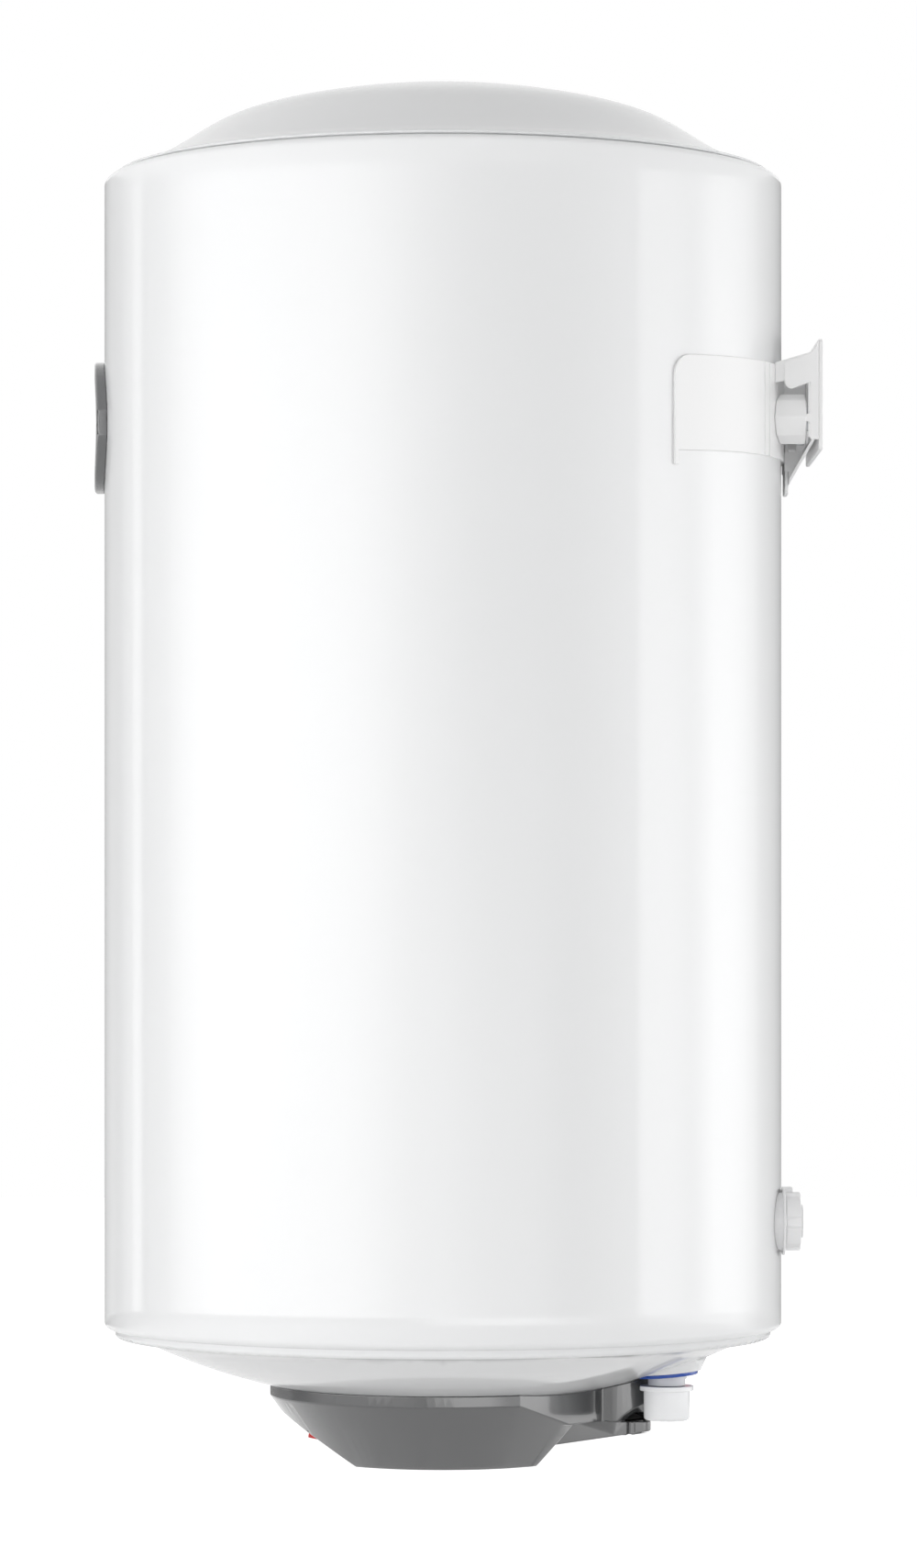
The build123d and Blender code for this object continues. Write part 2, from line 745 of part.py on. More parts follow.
with BuildPart() as inlet_diffuser:
    disc(level(pipe_root, pipe_x, pipe_y), diffuser_r, diffuser_height)
    fillet(edges().group_by(Axis.Z)[-1], diffuser_r / 4)
    disc(level(pipe_root, pipe_x, pipe_y), pipe_r, diffuser_height / 2, mode=Mode.SUBTRACT)
    disc(level(pipe_root, pipe_x, pipe_y), dip_tube_r, diffuser_height * 3 / 4, mode=Mode.SUBTRACT)
    with BuildSketch(level(pipe_root + diffuser_height * 5 / 8, pipe_x, pipe_y)):
        Rectangle(3 * diffuser_r, diffuser_r / 3)
        Rectangle(diffuser_r / 3, 3 * diffuser_r)
    extrude(amount=diffuser_height / 8, mode=Mode.SUBTRACT)
inlet_diffuser.part.label = "inlet_diffuser"
export_step(inlet_diffuser.part, "parts/inlet_diffuser.step")

# Underside cover


def plane_through(a, b, c):
    """A plane through three places, given from the drum's axis, that faces away from the axis."""
    first, second, third = (Vector(p[0], drum_y + p[1], p[2]) for p in (a, b, c))
    normal = (second - first).cross(third - first).normalized()
    away = first - Vector(0, drum_y, first.Z)
    return Plane(first, z_dir=normal if normal.dot(away) > 0 else -normal)


slope_plane = plane_through((0, slope_foot_y, cover_floor), (1, slope_foot_y, cover_floor),
                            (0, slope_head_y, slope_head))
rear_plane = plane_through((0, rear_foot_y, cone_low), (1, rear_foot_y, cone_low),
                           (0, crease_y, neck_low))
tunnel_plane = Plane((0, drum_y + tunnel_front_y, tunnel_front_low), x_dir=(1, 0, 0),
                     z_dir=(0, tunnel_back_low - tunnel_front_low, tunnel_front_y - tunnel_back_y))


def waist_x(r, y):
    """Half width of a circle of radius r at a distance y from its centre."""
    return math.sqrt(r * r - y * y)


def cover_region(inset):
    """Half section of the cover's band, cone and floor, drawn in by inset."""
    step = (band_r - cone_low_r) / (band_low - cone_low)
    lean = math.hypot(1, step)
    foot = max(cone_low, cover_floor + inset)
    foot_r = cone_low_r - inset * lean + (foot - cone_low) * step
    corner = band_low + inset * (lean - 1) / step
    with BuildSketch(profile) as region:
        with BuildLine():
            Polyline((0, jacket_bottom), (band_r - inset, jacket_bottom), (band_r - inset, corner),
                     (foot_r, foot), (min(floor_r, foot_r - inset / 2), cover_floor + inset),
                     (0, cover_floor + inset), close=True)
        make_face()
    return region.sketch


def cover_form(inset):
    """The cover's whole outer form or, with an inset, the hollow inside it."""
    with BuildPart() as form:
        revolve(cover_region(inset), axis=drum_axis)
        split(bisect_by=slope_plane.offset(-inset), keep=Keep.BOTTOM)
        split(bisect_by=rear_plane.offset(-inset), keep=Keep.BOTTOM)
        for side in sides.values():
            wall = plane_through((side * waist_x(band_r, waist_y), waist_y, band_low),
                                 (side * neck_x, neck_y, band_low), (side * neck_x, neck_y, neck_low))
            split(bisect_by=wall.offset(-inset), keep=Keep.BOTTOM)
        with BuildSketch(level(neck_low + inset)):
            with BuildLine():
                Polyline((neck_x - inset, neck_y), (waist_x(band_r, waist_y) - inset, waist_y),
                         (inset - waist_x(band_r, waist_y), waist_y), (inset - neck_x, neck_y))
                ThreePointArc((inset - neck_x, neck_y),
                              (inset - neck_x - neck_bulge, (neck_y + neck_back_y) / 2),
                              (inset - neck_back_x, neck_back_y - inset))
                Line((inset - neck_back_x, neck_back_y - inset),
                     (neck_back_x - inset, neck_back_y - inset))
                ThreePointArc((neck_back_x - inset, neck_back_y - inset),
                              (neck_x + neck_bulge - inset, (neck_y + neck_back_y) / 2),
                              (neck_x - inset, neck_y))
            make_face()
        extrude(amount=jacket_bottom - neck_low)
        for side in sides.values():
            corner = (side * waist_x(band_r, waist_y), waist_y, band_low)
            facet = plane_through(corner, (side * crease_x, crease_y, neck_low),
                                  (side * waist_x(cone_low_r, waist_low_y), waist_low_y, cone_low))
            split(bisect_by=facet.offset(-inset), keep=Keep.BOTTOM)
    with BuildPart() as tunnel:
        with BuildSketch(level(tunnel_front_low)):
            with Locations((0, (tunnel_front_y + tunnel_back_y) / 2)):
                Rectangle(2 * (tunnel_x - inset), tunnel_back_y - tunnel_front_y - 2 * inset)
            fillet(vertices().group_by(Axis.Y)[-1], tunnel_corner_r - inset)
        extrude(amount=neck_low - tunnel_front_low + (inset and 2 * inset))
        split(bisect_by=tunnel_plane.offset(-inset), keep=Keep.BOTTOM)
    return form.part + tunnel.part


cover_outside = cover_form(0)
cover_hollow = cover_form(cover_wall)

with BuildPart() as dish_form:
    revolve(dish_region(0, jacket_r, jacket_bottom + part_gap), axis=drum_axis)


def on_slope(y):
    """Height of the cover's front slope at a distance y from the drum's axis."""
    return cover_floor + (slope_head - cover_floor) * (y - slope_foot_y) / (slope_head_y - slope_foot_y)


def tunnel_low(y):
    """Height of the underside of the cover's tunnel at a distance y from the drum's axis."""
    along = (y - tunnel_front_y) / (tunnel_back_y - tunnel_front_y)
    return tunnel_front_low + along * (tunnel_back_low - tunnel_front_low)


switch_plane = Plane((0, drum_y + switch_place_y, on_slope(switch_place_y)), x_dir=(1, 0, 0),
                     z_dir=slope_plane.z_dir)

with BuildPart() as terminal_cover:
    add(cover_outside)
    add(cover_hollow, mode=Mode.SUBTRACT)
    for side in sides.values():
        disc(level(tunnel_low(rib_y), side * tunnel_x, rib_y), rib_r, neck_low - tunnel_low(rib_y))
    for x, y in stud_places(False):
        disc(level(cover_floor, x, y), screw_pocket_r + cover_wall, screw_pocket_depth + cover_wall)
        disc(level(cover_floor, x, y), screw_pocket_r, screw_pocket_depth, mode=Mode.SUBTRACT)
        disc(level(cover_floor, x, y), screw_r + part_gap, screw_length, mode=Mode.SUBTRACT)
    with BuildSketch(switch_plane.offset(-2 * cover_wall)):
        Rectangle(switch_body_width, switch_body_length)
    extrude(amount=4 * cover_wall, mode=Mode.SUBTRACT)
    disc(towards_wall(neck_back_y - 2 * cover_wall, 0, gland_z), gland_r, 4 * cover_wall,
         mode=Mode.SUBTRACT)
    add(dish_form.part, mode=Mode.SUBTRACT)
terminal_cover.part.label = "terminal_cover"
export_step(terminal_cover.part, "parts/terminal_cover.step")

with BuildPart() as cover_screws:
    for x, y in stud_places(False):
        head_z = cover_floor + screw_pocket_depth
        disc(level(head_z, x, y), screw_r, screw_length)
        disc(level(head_z - screw_head_height, x, y), screw_head_r, screw_head_height)
        with BuildSketch(level(head_z - screw_head_height, x, y)):
            Rectangle(screw_head_r, screw_r / 3)
            Rectangle(screw_r / 3, screw_head_r)
        extrude(amount=screw_head_height / 2, mode=Mode.SUBTRACT)
cover_screws.part.label = "cover_screws"
export_step(cover_screws.part, "parts/cover_screws.step")

# Rocker switch

slope_up = switch_plane.y_dir
pivot = switch_plane.origin + switch_plane.z_dir * rocker_lift
cavity_width = switch_body_width - 2 * switch_wall
rocker_width = cavity_width - 2 * part_gap


def rocker_side(x, tilt=0.0):
    """A plane across the switch at x from its middle, whose own x runs up the cover's slope."""
    turn = math.radians(tilt)
    along = slope_up * math.cos(turn) + switch_plane.z_dir * math.sin(turn)
    return Plane(pivot + Vector(x, 0, 0), x_dir=along, z_dir=(1, 0, 0))


with BuildPart() as switch_body:
    with BuildSketch(switch_plane):
        Rectangle(bezel_width, bezel_length)
        fillet(vertices(), switch_wall)
    extrude(amount=bezel_thickness)
    fillet(edges().group_by(SortBy.LENGTH)[-1], bezel_thickness / 5)
    with BuildSketch(switch_plane):
        Rectangle(switch_body_width, switch_body_length)
    extrude(amount=-switch_depth)
    with BuildSketch(switch_plane.offset(bezel_thickness)):
        Rectangle(cavity_width, 2 * (rocker_r + part_gap))
    extrude(amount=-bezel_thickness - rocker_r, mode=Mode.SUBTRACT)
    disc(rocker_side(-rocker_width / 2 - rocker_pin_length - part_gap), rocker_pin_r + running_gap,
         rocker_width + 2 * (rocker_pin_length + part_gap), mode=Mode.SUBTRACT)
switch_body.part.label = "switch_body"
export_step(switch_body.part, "parts/switch_body.step")

with BuildPart() as switch_rocker:
    with BuildSketch(rocker_side(-rocker_width / 2, rocker_rest_tilt)):
        Circle(rocker_r)
        end_x = math.sqrt(rocker_r ** 2 - rocker_end_height ** 2)
        with BuildLine():
            Polyline((-rocker_r, -rocker_cut), (rocker_r, -rocker_cut),
                     (rocker_r, rocker_end_height), (end_x, rocker_end_height),
                     (0, rocker_waist_height), (-end_x, rocker_end_height),
                     (-rocker_r, rocker_end_height), close=True)
        make_face(mode=Mode.INTERSECT)
    extrude(amount=rocker_width)
    disc(rocker_side(-rocker_width / 2 - rocker_pin_length), rocker_pin_r,
         rocker_width + 2 * rocker_pin_length)
switch_rocker.part.label = "switch_rocker"
export_step(switch_rocker.part, "parts/switch_rocker.step")

# Cable gland, terminal block and inside wires

gland_inner_y = neck_back_y - cover_wall - gland_nut_thickness - part_gap

with BuildPart() as cable_gland:
    tube(towards_wall(gland_inner_y - cover_wall, 0, gland_z), gland_r, gland_bore_r,
         neck_back_y - gland_inner_y + cover_wall)
    tube(towards_wall(neck_back_y, 0, gland_z), gland_flange_r, gland_bore_r,
         gland_flange_thickness)
    fillet(edges().group_by(Axis.Y)[-1], cover_wall / 4)
cable_gland.part.label = "cable_gland"
export_step(cable_gland.part, "parts/cable_gland.step")

with BuildPart() as gland_nut:
    with BuildSketch(towards_wall(neck_back_y - cover_wall - gland_nut_thickness, 0, gland_z)):
        RegularPolygon(gland_flange_r, 6)
        Circle(gland_r, mode=Mode.SUBTRACT)
    extrude(amount=gland_nut_thickness)
gland_nut.part.label = "gland_nut"
export_step(gland_nut.part, "parts/gland_nut.step")

block_low = cover_floor + cover_wall
block_mouth_y = block_y - block_depth / 2
block_wire_z = block_low + block_height / 2
block_ways = 3

with BuildPart() as terminal_block:
    with BuildSketch(level(block_low, 0, block_y)):
        Rectangle(block_width, block_depth)
    extrude(amount=block_height)
    with BuildSketch(level(block_low + block_height, 0, block_y)):
        with GridLocations(block_width / block_ways, block_depth / 2, block_ways, 2):
            Circle(wire_r)
    extrude(amount=-block_height / 4, mode=Mode.SUBTRACT)
    with BuildSketch(level(block_low + block_height, 0, block_y)):
        with GridLocations(block_width / block_ways, 0, block_ways - 1, 1):
            Rectangle(wire_r, block_depth)
    extrude(amount=-block_height / 3, mode=Mode.SUBTRACT)
terminal_block.part.label = "terminal_block"
export_step(terminal_block.part, "parts/terminal_block.step")

way_x = block_width / block_ways
element_end = flange_bottom - element_tail
thermostat_rear_y = pocket_y + thermostat_depth / 2
thermostat_front_y = pocket_y - thermostat_depth / 2
wire_high = thermostat_low + 2 * wire_r
switch_back = switch_plane.origin - switch_plane.z_dir * switch_depth
switch_back_y = switch_back.Y - drum_y
wire_routes = {
    "wire_live": [(-way_x, block_mouth_y, block_wire_z), (-way_x, 22, block_wire_z),
                  (-way_x, 6, wire_high), (-way_x, thermostat_rear_y, wire_high)],
    "wire_neutral": [(way_x, block_mouth_y, block_wire_z), (way_x, 25, block_wire_z),
                     (element_leg_x, element_y, element_end - 16),
                     (element_leg_x, element_y, element_end)],
    "wire_element": [(-2, thermostat_rear_y, wire_high + 5), (-2, 3, wire_high + 5),
                     (-element_leg_x, element_y, element_end - 10),
                     (-element_leg_x, element_y, element_end)],
    "wire_earth": [(-block_width / 2, block_y, block_wire_z), (-30, block_y, block_wire_z),
                   (earth_place[0], 12, block_wire_z + 4),
                   (earth_place[0], earth_place[1], flange_bottom - earth_length - 14),
                   (earth_place[0], earth_place[1], flange_bottom - earth_length)],
    "wire_switch": [(-3, switch_back_y, switch_back.Z), (-3, switch_back_y + 5, switch_back.Z + 7.5),
                    (-3, -48, switch_back.Z + 10), (-3, thermostat_front_y, switch_back.Z + 10)],
}
for wire_name, places in wire_routes.items():
    with BuildPart() as wire:
        with BuildLine() as route:
            FilletPolyline(*[(x, drum_y + y, z) for x, y, z in places], radius=wire_bend_r)
        with BuildSketch(Plane(route.line @ 0, z_dir=route.line % 0)):
            Circle(wire_r)
        sweep(path=route.wires()[0])
    wire.part.label = wire_name
    export_step(wire.part, f"parts/{wire_name}.step")

# Thermometer on the front

with BuildPart() as thermometer_bezel:
    disc(towards_front(0, z=badge_z), badge_r, overall_depth)
    drum_core(jacket_r + badge_depth, Mode.INTERSECT)
    drum_core(jacket_r, Mode.SUBTRACT)
    fillet(edges().filter_by(lambda e: e.center().Y < drum_y - jacket_r).group_by(Axis.Y)[0],
           badge_round_r)
    disc(towards_front(dial_back, z=badge_z), window_r, overall_depth, mode=Mode.SUBTRACT)
    disc(towards_front(0, z=badge_z), ledge_r, overall_depth, mode=Mode.SUBTRACT)
    with BuildSketch(towards_front(0, z=badge_z)):
        with GridLocations(2 * badge_r, 0, 2, 1):
            Rectangle(2 * badge_flat_depth, badge_flat_height)
    extrude(amount=overall_depth, mode=Mode.SUBTRACT)
thermometer_bezel.part.label = "thermometer_bezel"
export_step(thermometer_bezel.part, "parts/thermometer_bezel.step")

with BuildPart() as thermometer_dial:
    tube(towards_front(dial_back, z=badge_z), window_r - dial_gap, needle_pin_r + running_gap,
         dial_thickness)
thermometer_dial.part.label = "thermometer_dial"
export_step(thermometer_dial.part, "parts/thermometer_dial.step")

needle_back = dial_back + dial_thickness + part_gap
needle_turn = math.radians(needle_rest)
needle_plane = Plane((0, drum_y - needle_back, badge_z),
                     x_dir=(math.cos(needle_turn), 0, math.sin(needle_turn)), z_dir=(0, -1, 0))

with BuildPart() as thermometer_needle:
    with BuildSketch(needle_plane):
        Circle(hub_r)
        with BuildLine():
            Polyline((-needle_width / 2, -needle_tail), (needle_width / 2, -needle_tail),
                     (needle_width / 4, needle_length), (-needle_width / 4, needle_length),
                     close=True)
        make_face()
    extrude(amount=needle_thickness)
    disc(towards_front(needle_back, z=badge_z), needle_pin_r, -needle_pin_depth)
thermometer_needle.part.label = "thermometer_needle"
export_step(thermometer_needle.part, "parts/thermometer_needle.step")

with BuildPart() as thermometer_lens:
    disc(towards_front(lens_back, z=badge_z), window_r - dial_gap, lens_thickness)
thermometer_lens.part.label = "thermometer_lens"
export_step(thermometer_lens.part, "parts/thermometer_lens.step")

with BuildPart() as thermometer_stem:
    tube(towards_front(tank_r, z=badge_z), stem_r, needle_pin_r + running_gap, dial_back - tank_r)
thermometer_stem.part.label = "thermometer_stem"
export_step(thermometer_stem.part, "parts/thermometer_stem.step")

# Wall bracket

plate_front_y = axis_to_wall - plate_thickness
strap_r = jacket_r + strap_wall
tongue_y = strap_r
brace_low_y = tongue_y + tongue_thickness
bolt_end_y = waist_x(tank_r, boss_x - bolt_r) + bolt_tip_gap
wing_middle = (wing_top + wing_bottom) / 2


def sector(from_angle, to_angle, low, height):
    """A slice of the band round the drum, between two angles from the back."""
    reach = 2 * jacket_r
    places = [(0, 0)]
    for angle in (from_angle, (from_angle + to_angle) / 2, to_angle):
        places.append((reach * math.sin(math.radians(angle)), reach * math.cos(math.radians(angle))))
    with BuildSketch(level(low)) as slice_sketch:
        Circle(strap_r)
        Circle(jacket_r, mode=Mode.SUBTRACT)
        with BuildLine():
            Polyline(*places, close=True)
        make_face(mode=Mode.INTERSECT)
    extrude(slice_sketch.sketch, amount=height)


def sloped_plane(z):
    """The plane of the band's upper or lower edge, which rises a little towards the wall."""
    lean = math.radians(wing_slope)
    return Plane((0, drum_y + wing_y, z), x_dir=(1, 0, 0), z_dir=(0, -math.sin(lean), math.cos(lean)))


with BuildPart() as wall_bracket:
    sector(-wing_angle, wing_angle, wing_bottom - tail_depth, 2 * (wing_top - wing_bottom))
    split(bisect_by=sloped_plane(wing_top), keep=Keep.BOTTOM)
    split(bisect_by=sloped_plane(wing_bottom), keep=Keep.TOP)
    ends = edges().filter_by(lambda e: e.length < 1.2 * strap_wall and e.center().Z > wing_middle)
    fillet(ends, wing_corner_r)
    for side in sides.values():
        near, far = sorted((side * (wing_angle - tail_angle), side * wing_angle))
        sector(near, far, wing_bottom - tail_depth, 2 * tail_depth)
        disc(towards_wall(0, side * boss_x, boss_z), bolt_r + part_gap, overall_depth,
             mode=Mode.SUBTRACT)
wall_bracket.part.label = "wall_bracket"
export_step(wall_bracket.part, "parts/wall_bracket.step")

with BuildPart() as bracket_cheeks:
    for side in sides.values():
        near_x = min(side * plate_half_width, side * (plate_half_width - cheek_wall))
        with BuildSketch(side_view(near_x)):
            with BuildLine():
                Polyline((cheek_root_y, cheek_root_low), (cheek_strip_y, cheek_strip_top),
                         (cheek_strip_y, cheek_low), (plate_front_y, cheek_low),
                         (plate_front_y, plate_top), (cheek_shoulder_y, cheek_shoulder_top),
                         (cheek_root_y, cheek_root_top), close=True)
            make_face()
            inner_corner = vertices().filter_by_position(Axis.X, cheek_strip_y - part_gap,
                                                         cheek_strip_y + part_gap)
            fillet(inner_corner.sort_by(Axis.Y)[-1], bracket_corner_r)
        extrude(amount=cheek_wall)
    drum_core(strap_r, Mode.SUBTRACT)
bracket_cheeks.part.label = "bracket_cheeks"
export_step(bracket_cheeks.part, "parts/bracket_cheeks.step")

with BuildPart() as wall_plate:
    with BuildSketch(towards_wall(plate_front_y, 0, 0)):
        with Locations((0, (plate_top + plate_bottom) / 2)):
            RectangleRounded(2 * plate_half_width, plate_top - plate_bottom, bracket_corner_r)
        with GridLocations(2 * slot_x, 0, 2, 1):
            SlotOverall(slot_length, slot_width, mode=Mode.SUBTRACT)
        with Locations((-boss_x, boss_z), (boss_x, boss_z)):
            Circle(socket_r, mode=Mode.SUBTRACT)
    extrude(amount=plate_thickness)
wall_plate.part.label = "wall_plate"
export_step(wall_plate.part, "parts/wall_plate.step")

brace_length = math.hypot(plate_front_y - brace_low_y, brace_high - brace_low)
brace_plane = Plane((0, drum_y + plate_front_y, brace_high), x_dir=(1, 0, 0),
                    z_dir=(0, brace_high - brace_low, brace_low_y - plate_front_y))
cheek_inner_x = plate_half_width - cheek_wall
web_top_y = (brace_low_y + (plate_front_y - brace_low_y)
             * (web_top - brace_low) / (brace_high - brace_low))

with BuildPart() as bracket_brace:
    with BuildSketch(brace_plane):
        with BuildLine():
            Polyline((-cheek_inner_x, 0), (cheek_inner_x, 0), (tongue_half_width, brace_length),
                     (-tongue_half_width, brace_length), close=True)
        make_face()
    extrude(amount=-strap_wall)
    split(bisect_by=towards_wall(brace_low_y), keep=Keep.TOP)
    split(bisect_by=towards_wall(plate_front_y), keep=Keep.BOTTOM)
    for near_x in (tongue_half_width, -tongue_half_width - strap_wall):
        with BuildSketch(side_view(near_x)):
            with BuildLine():
                Polyline((jacket_r, web_top), (web_top_y, web_top), (brace_low_y, brace_low),
                         (brace_low_y, wing_bottom), (jacket_r, wing_bottom), close=True)
            make_face()
        extrude(amount=strap_wall)
    drum_core(strap_r, Mode.SUBTRACT)
bracket_brace.part.label = "bracket_brace"
export_step(bracket_brace.part, "parts/bracket_brace.step")

with BuildPart() as bracket_tongue:
    with BuildSketch(towards_wall(tongue_y, 0, (tongue_top + tongue_bottom) / 2)):
        Rectangle(2 * tongue_half_width, tongue_top - tongue_bottom)
        fillet(vertices().group_by(Axis.Y)[0], bracket_corner_r)
    extrude(amount=tongue_thickness)
bracket_tongue.part.label = "bracket_tongue"
export_step(bracket_tongue.part, "parts/bracket_tongue.step")

with BuildPart() as bracket_bosses:
    for side in sides.values():
        with BuildSketch(towards_wall(0, side * boss_x, boss_z)):
            RegularPolygon(boss_r, boss_sides)
            fillet(vertices(), bracket_corner_r)
            Circle(bolt_r + running_gap, mode=Mode.SUBTRACT)
        extrude(amount=boss_end_y)
    drum_core(strap_r, Mode.SUBTRACT)
bracket_bosses.part.label = "bracket_bosses"
export_step(bracket_bosses.part, "parts/bracket_bosses.step")

with BuildPart() as bracket_bolts:
    for side in sides.values():
        disc(towards_wall(bolt_end_y, side * boss_x, boss_z), bolt_r, boss_end_y - bolt_end_y)
        with BuildSketch(towards_wall(boss_end_y, side * boss_x, boss_z)):
            RegularPolygon(bolt_head_r, 6)
        extrude(amount=bolt_head_height)
bracket_bolts.part.label = "bracket_bolts"
export_step(bracket_bolts.part, "parts/bracket_bolts.step")

# Lower spacers

spacer_face_y = jacket_r
pad_end_y = axis_to_wall - spacer_travel
pad_face_y = pad_end_y - pad_thickness
knob_end_y = pad_face_y - part_gap

for hand, side in sides.items():
    with BuildPart() as spacer_base:
        flange_back_y = spacer_face_y - spacer_flange_thickness
        disc(towards_wall(0, side * spacer_x, spacer_z), spacer_base_r, spacer_face_y)
        disc(towards_wall(flange_back_y, side * spacer_x, spacer_z), spacer_flange_r,
             spacer_flange_thickness)
        drum_core(jacket_r, Mode.SUBTRACT)
        disc(towards_wall(sleeve_end_y, side * spacer_x, spacer_z), sleeve_r,
             flange_back_y - sleeve_end_y)
        disc(towards_wall(0, side * spacer_x, spacer_z), shaft_r + running_gap, overall_depth,
             mode=Mode.SUBTRACT)
    spacer_base.part.label = f"spacer_base_{hand}"
    export_step(spacer_base.part, f"parts/spacer_base_{hand}.step")

    with BuildPart() as spacer_knob:
        with BuildSketch(towards_wall(spacer_face_y + part_gap, side * spacer_x, spacer_z)):
            Circle(knob_r)
            with PolarLocations(knob_r - knob_lobe_r * 2 / 3, knob_lobes):
                Circle(knob_lobe_r)
            Circle(shaft_r + running_gap, mode=Mode.SUBTRACT)
        extrude(amount=knob_end_y - spacer_face_y - part_gap)
    spacer_knob.part.label = f"spacer_knob_{hand}"
    export_step(spacer_knob.part, f"parts/spacer_knob_{hand}.step")

    with BuildPart() as spacer_pad:
        disc(towards_wall(shaft_end_y, side * spacer_x, spacer_z), shaft_r,
             pad_face_y - shaft_end_y)
        disc(towards_wall(pad_face_y, side * spacer_x, spacer_z), pad_r, pad_end_y - pad_face_y)
    spacer_pad.part.label = f"spacer_pad_{hand}"
    export_step(spacer_pad.part, f"parts/spacer_pad_{hand}.step")
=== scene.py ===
# %% [markdown]
# # An electric storage water heater, dressed for its portrait
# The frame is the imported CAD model: a drum 450 mm across that hangs on a wall, with a thermometer
# on the front, a grey cover and two capped pipes below, and a bracket at the back. Here it gets its
# looks. Everything is in metres: +Z is up, -Y is the front, and +Y is the wall.

# %% Load the frame
import json
import math

import bmesh
import bpy
import numpy as np
from mathutils import Matrix, Vector

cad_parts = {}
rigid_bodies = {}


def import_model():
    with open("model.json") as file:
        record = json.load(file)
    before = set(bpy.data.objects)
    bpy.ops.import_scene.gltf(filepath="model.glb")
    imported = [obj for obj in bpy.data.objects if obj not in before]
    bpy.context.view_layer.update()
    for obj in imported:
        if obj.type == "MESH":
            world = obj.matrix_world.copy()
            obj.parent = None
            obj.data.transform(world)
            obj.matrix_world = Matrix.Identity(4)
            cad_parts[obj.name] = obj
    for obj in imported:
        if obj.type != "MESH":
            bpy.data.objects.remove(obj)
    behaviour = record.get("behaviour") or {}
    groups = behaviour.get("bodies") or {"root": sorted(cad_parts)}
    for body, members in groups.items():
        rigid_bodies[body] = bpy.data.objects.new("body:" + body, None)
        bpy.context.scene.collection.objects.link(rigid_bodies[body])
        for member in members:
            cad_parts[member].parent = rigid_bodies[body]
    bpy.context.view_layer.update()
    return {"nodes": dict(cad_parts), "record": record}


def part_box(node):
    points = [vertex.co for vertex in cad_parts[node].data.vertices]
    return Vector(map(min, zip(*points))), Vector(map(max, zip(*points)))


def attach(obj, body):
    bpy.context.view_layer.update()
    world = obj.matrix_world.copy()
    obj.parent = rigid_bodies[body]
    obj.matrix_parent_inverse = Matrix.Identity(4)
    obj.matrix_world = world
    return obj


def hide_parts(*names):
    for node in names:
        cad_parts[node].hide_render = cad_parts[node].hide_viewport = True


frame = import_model()
print("CAD nodes:", len(frame["nodes"]))

# %% [markdown]
# ## The camera
# A long lens far away keeps the drum's sides nearly parallel. The camera stands level, to the
# heater's right. Its sensor is shifted up instead of being tilted, so that the drum's edges stay
# upright, as in a catalogue picture.

# %% Camera
drum_y = -0.2485
eye_height = -0.386
camera_distance = 3.6503
picture_height = 1709
shift_right, shift_up = 17, 178.7

camera_data = bpy.data.cameras.new("side_camera")
camera_data.sensor_width = 36
camera_data.lens = 125.87
camera_data.shift_x = shift_right / picture_height
camera_data.shift_y = shift_up / picture_height
camera = bpy.data.objects.new("side_camera", camera_data)
camera.location = (camera_distance, drum_y, eye_height)
camera.rotation_euler = (math.radians(90), 0, math.radians(90))
bpy.context.scene.collection.objects.link(camera)
bpy.context.scene.camera = camera
bpy.context.scene.view_settings.view_transform = "Standard"

# %% [markdown]
# ## White studio
# The world is a soft grey light for the surfaces, dimmer overhead, but the camera, mirrors and
# glass see it as plain white. The floor glows for the camera, and is also lit, so that it still
# takes the heater's shadow. Mirrors see a plain, nearly white floor.

# %% Node helpers
def node(tree, kind, **values):
    """Adds a node, and sets the inputs that are named in values."""
    made = tree.nodes.new(kind)
    for name, value in values.items():
        if name in made.inputs:
            made.inputs[name].default_value = value
        else:
            setattr(made, name, value)
    return made


def link(tree, *pairs):
    """Links sockets, given as output, input, output, input and so on."""
    for source, target in zip(pairs[::2], pairs[1::2]):
        tree.links.new(source, target)


def calc(tree, operation, *terms):
    """A math node whose terms are sockets or numbers. Gives its output."""
    made = node(tree, "ShaderNodeMath", operation=operation)
    for socket, term in zip(made.inputs, terms):
        if isinstance(term, bpy.types.NodeSocket):
            tree.links.new(term, socket)
        else:
            socket.default_value = term
    return made.outputs[0]


# %% World
world_light, overhead_light = 0.7, 0.4
dims_from, dims_to = 0.3, 0.9
world = bpy.data.worlds.new("white_studio")
bpy.context.scene.world = world
world.use_nodes = True
tree = world.node_tree
tree.nodes.clear()
rays = node(tree, "ShaderNodeLightPath")
seen = calc(tree, "MAXIMUM", rays.outputs["Is Camera Ray"], rays.outputs["Is Glossy Ray"])
seen = calc(tree, "MAXIMUM", seen, rays.outputs["Is Transmission Ray"])
dim = node(tree, "ShaderNodeBackground", Color=(1, 1, 1, 1))
way = node(tree, "ShaderNodeTexCoord")
height = node(tree, "ShaderNodeSeparateXYZ")
fade = node(tree, "ShaderNodeMapRange", **{"From Min": dims_from, "From Max": dims_to,
                                           "To Min": world_light, "To Max": overhead_light})
white = node(tree, "ShaderNodeBackground", Color=(1, 1, 1, 1), Strength=1.0)
mix = node(tree, "ShaderNodeMixShader")
world_out = node(tree, "ShaderNodeOutputWorld")
link(tree, seen, mix.inputs[0], dim.outputs[0], mix.inputs[1], white.outputs[0], mix.inputs[2],
     way.outputs["Generated"], height.inputs[0], height.outputs["Z"], fade.inputs["Value"],
     fade.outputs["Result"], dim.inputs["Strength"],
     mix.outputs[0], world_out.inputs["Surface"])

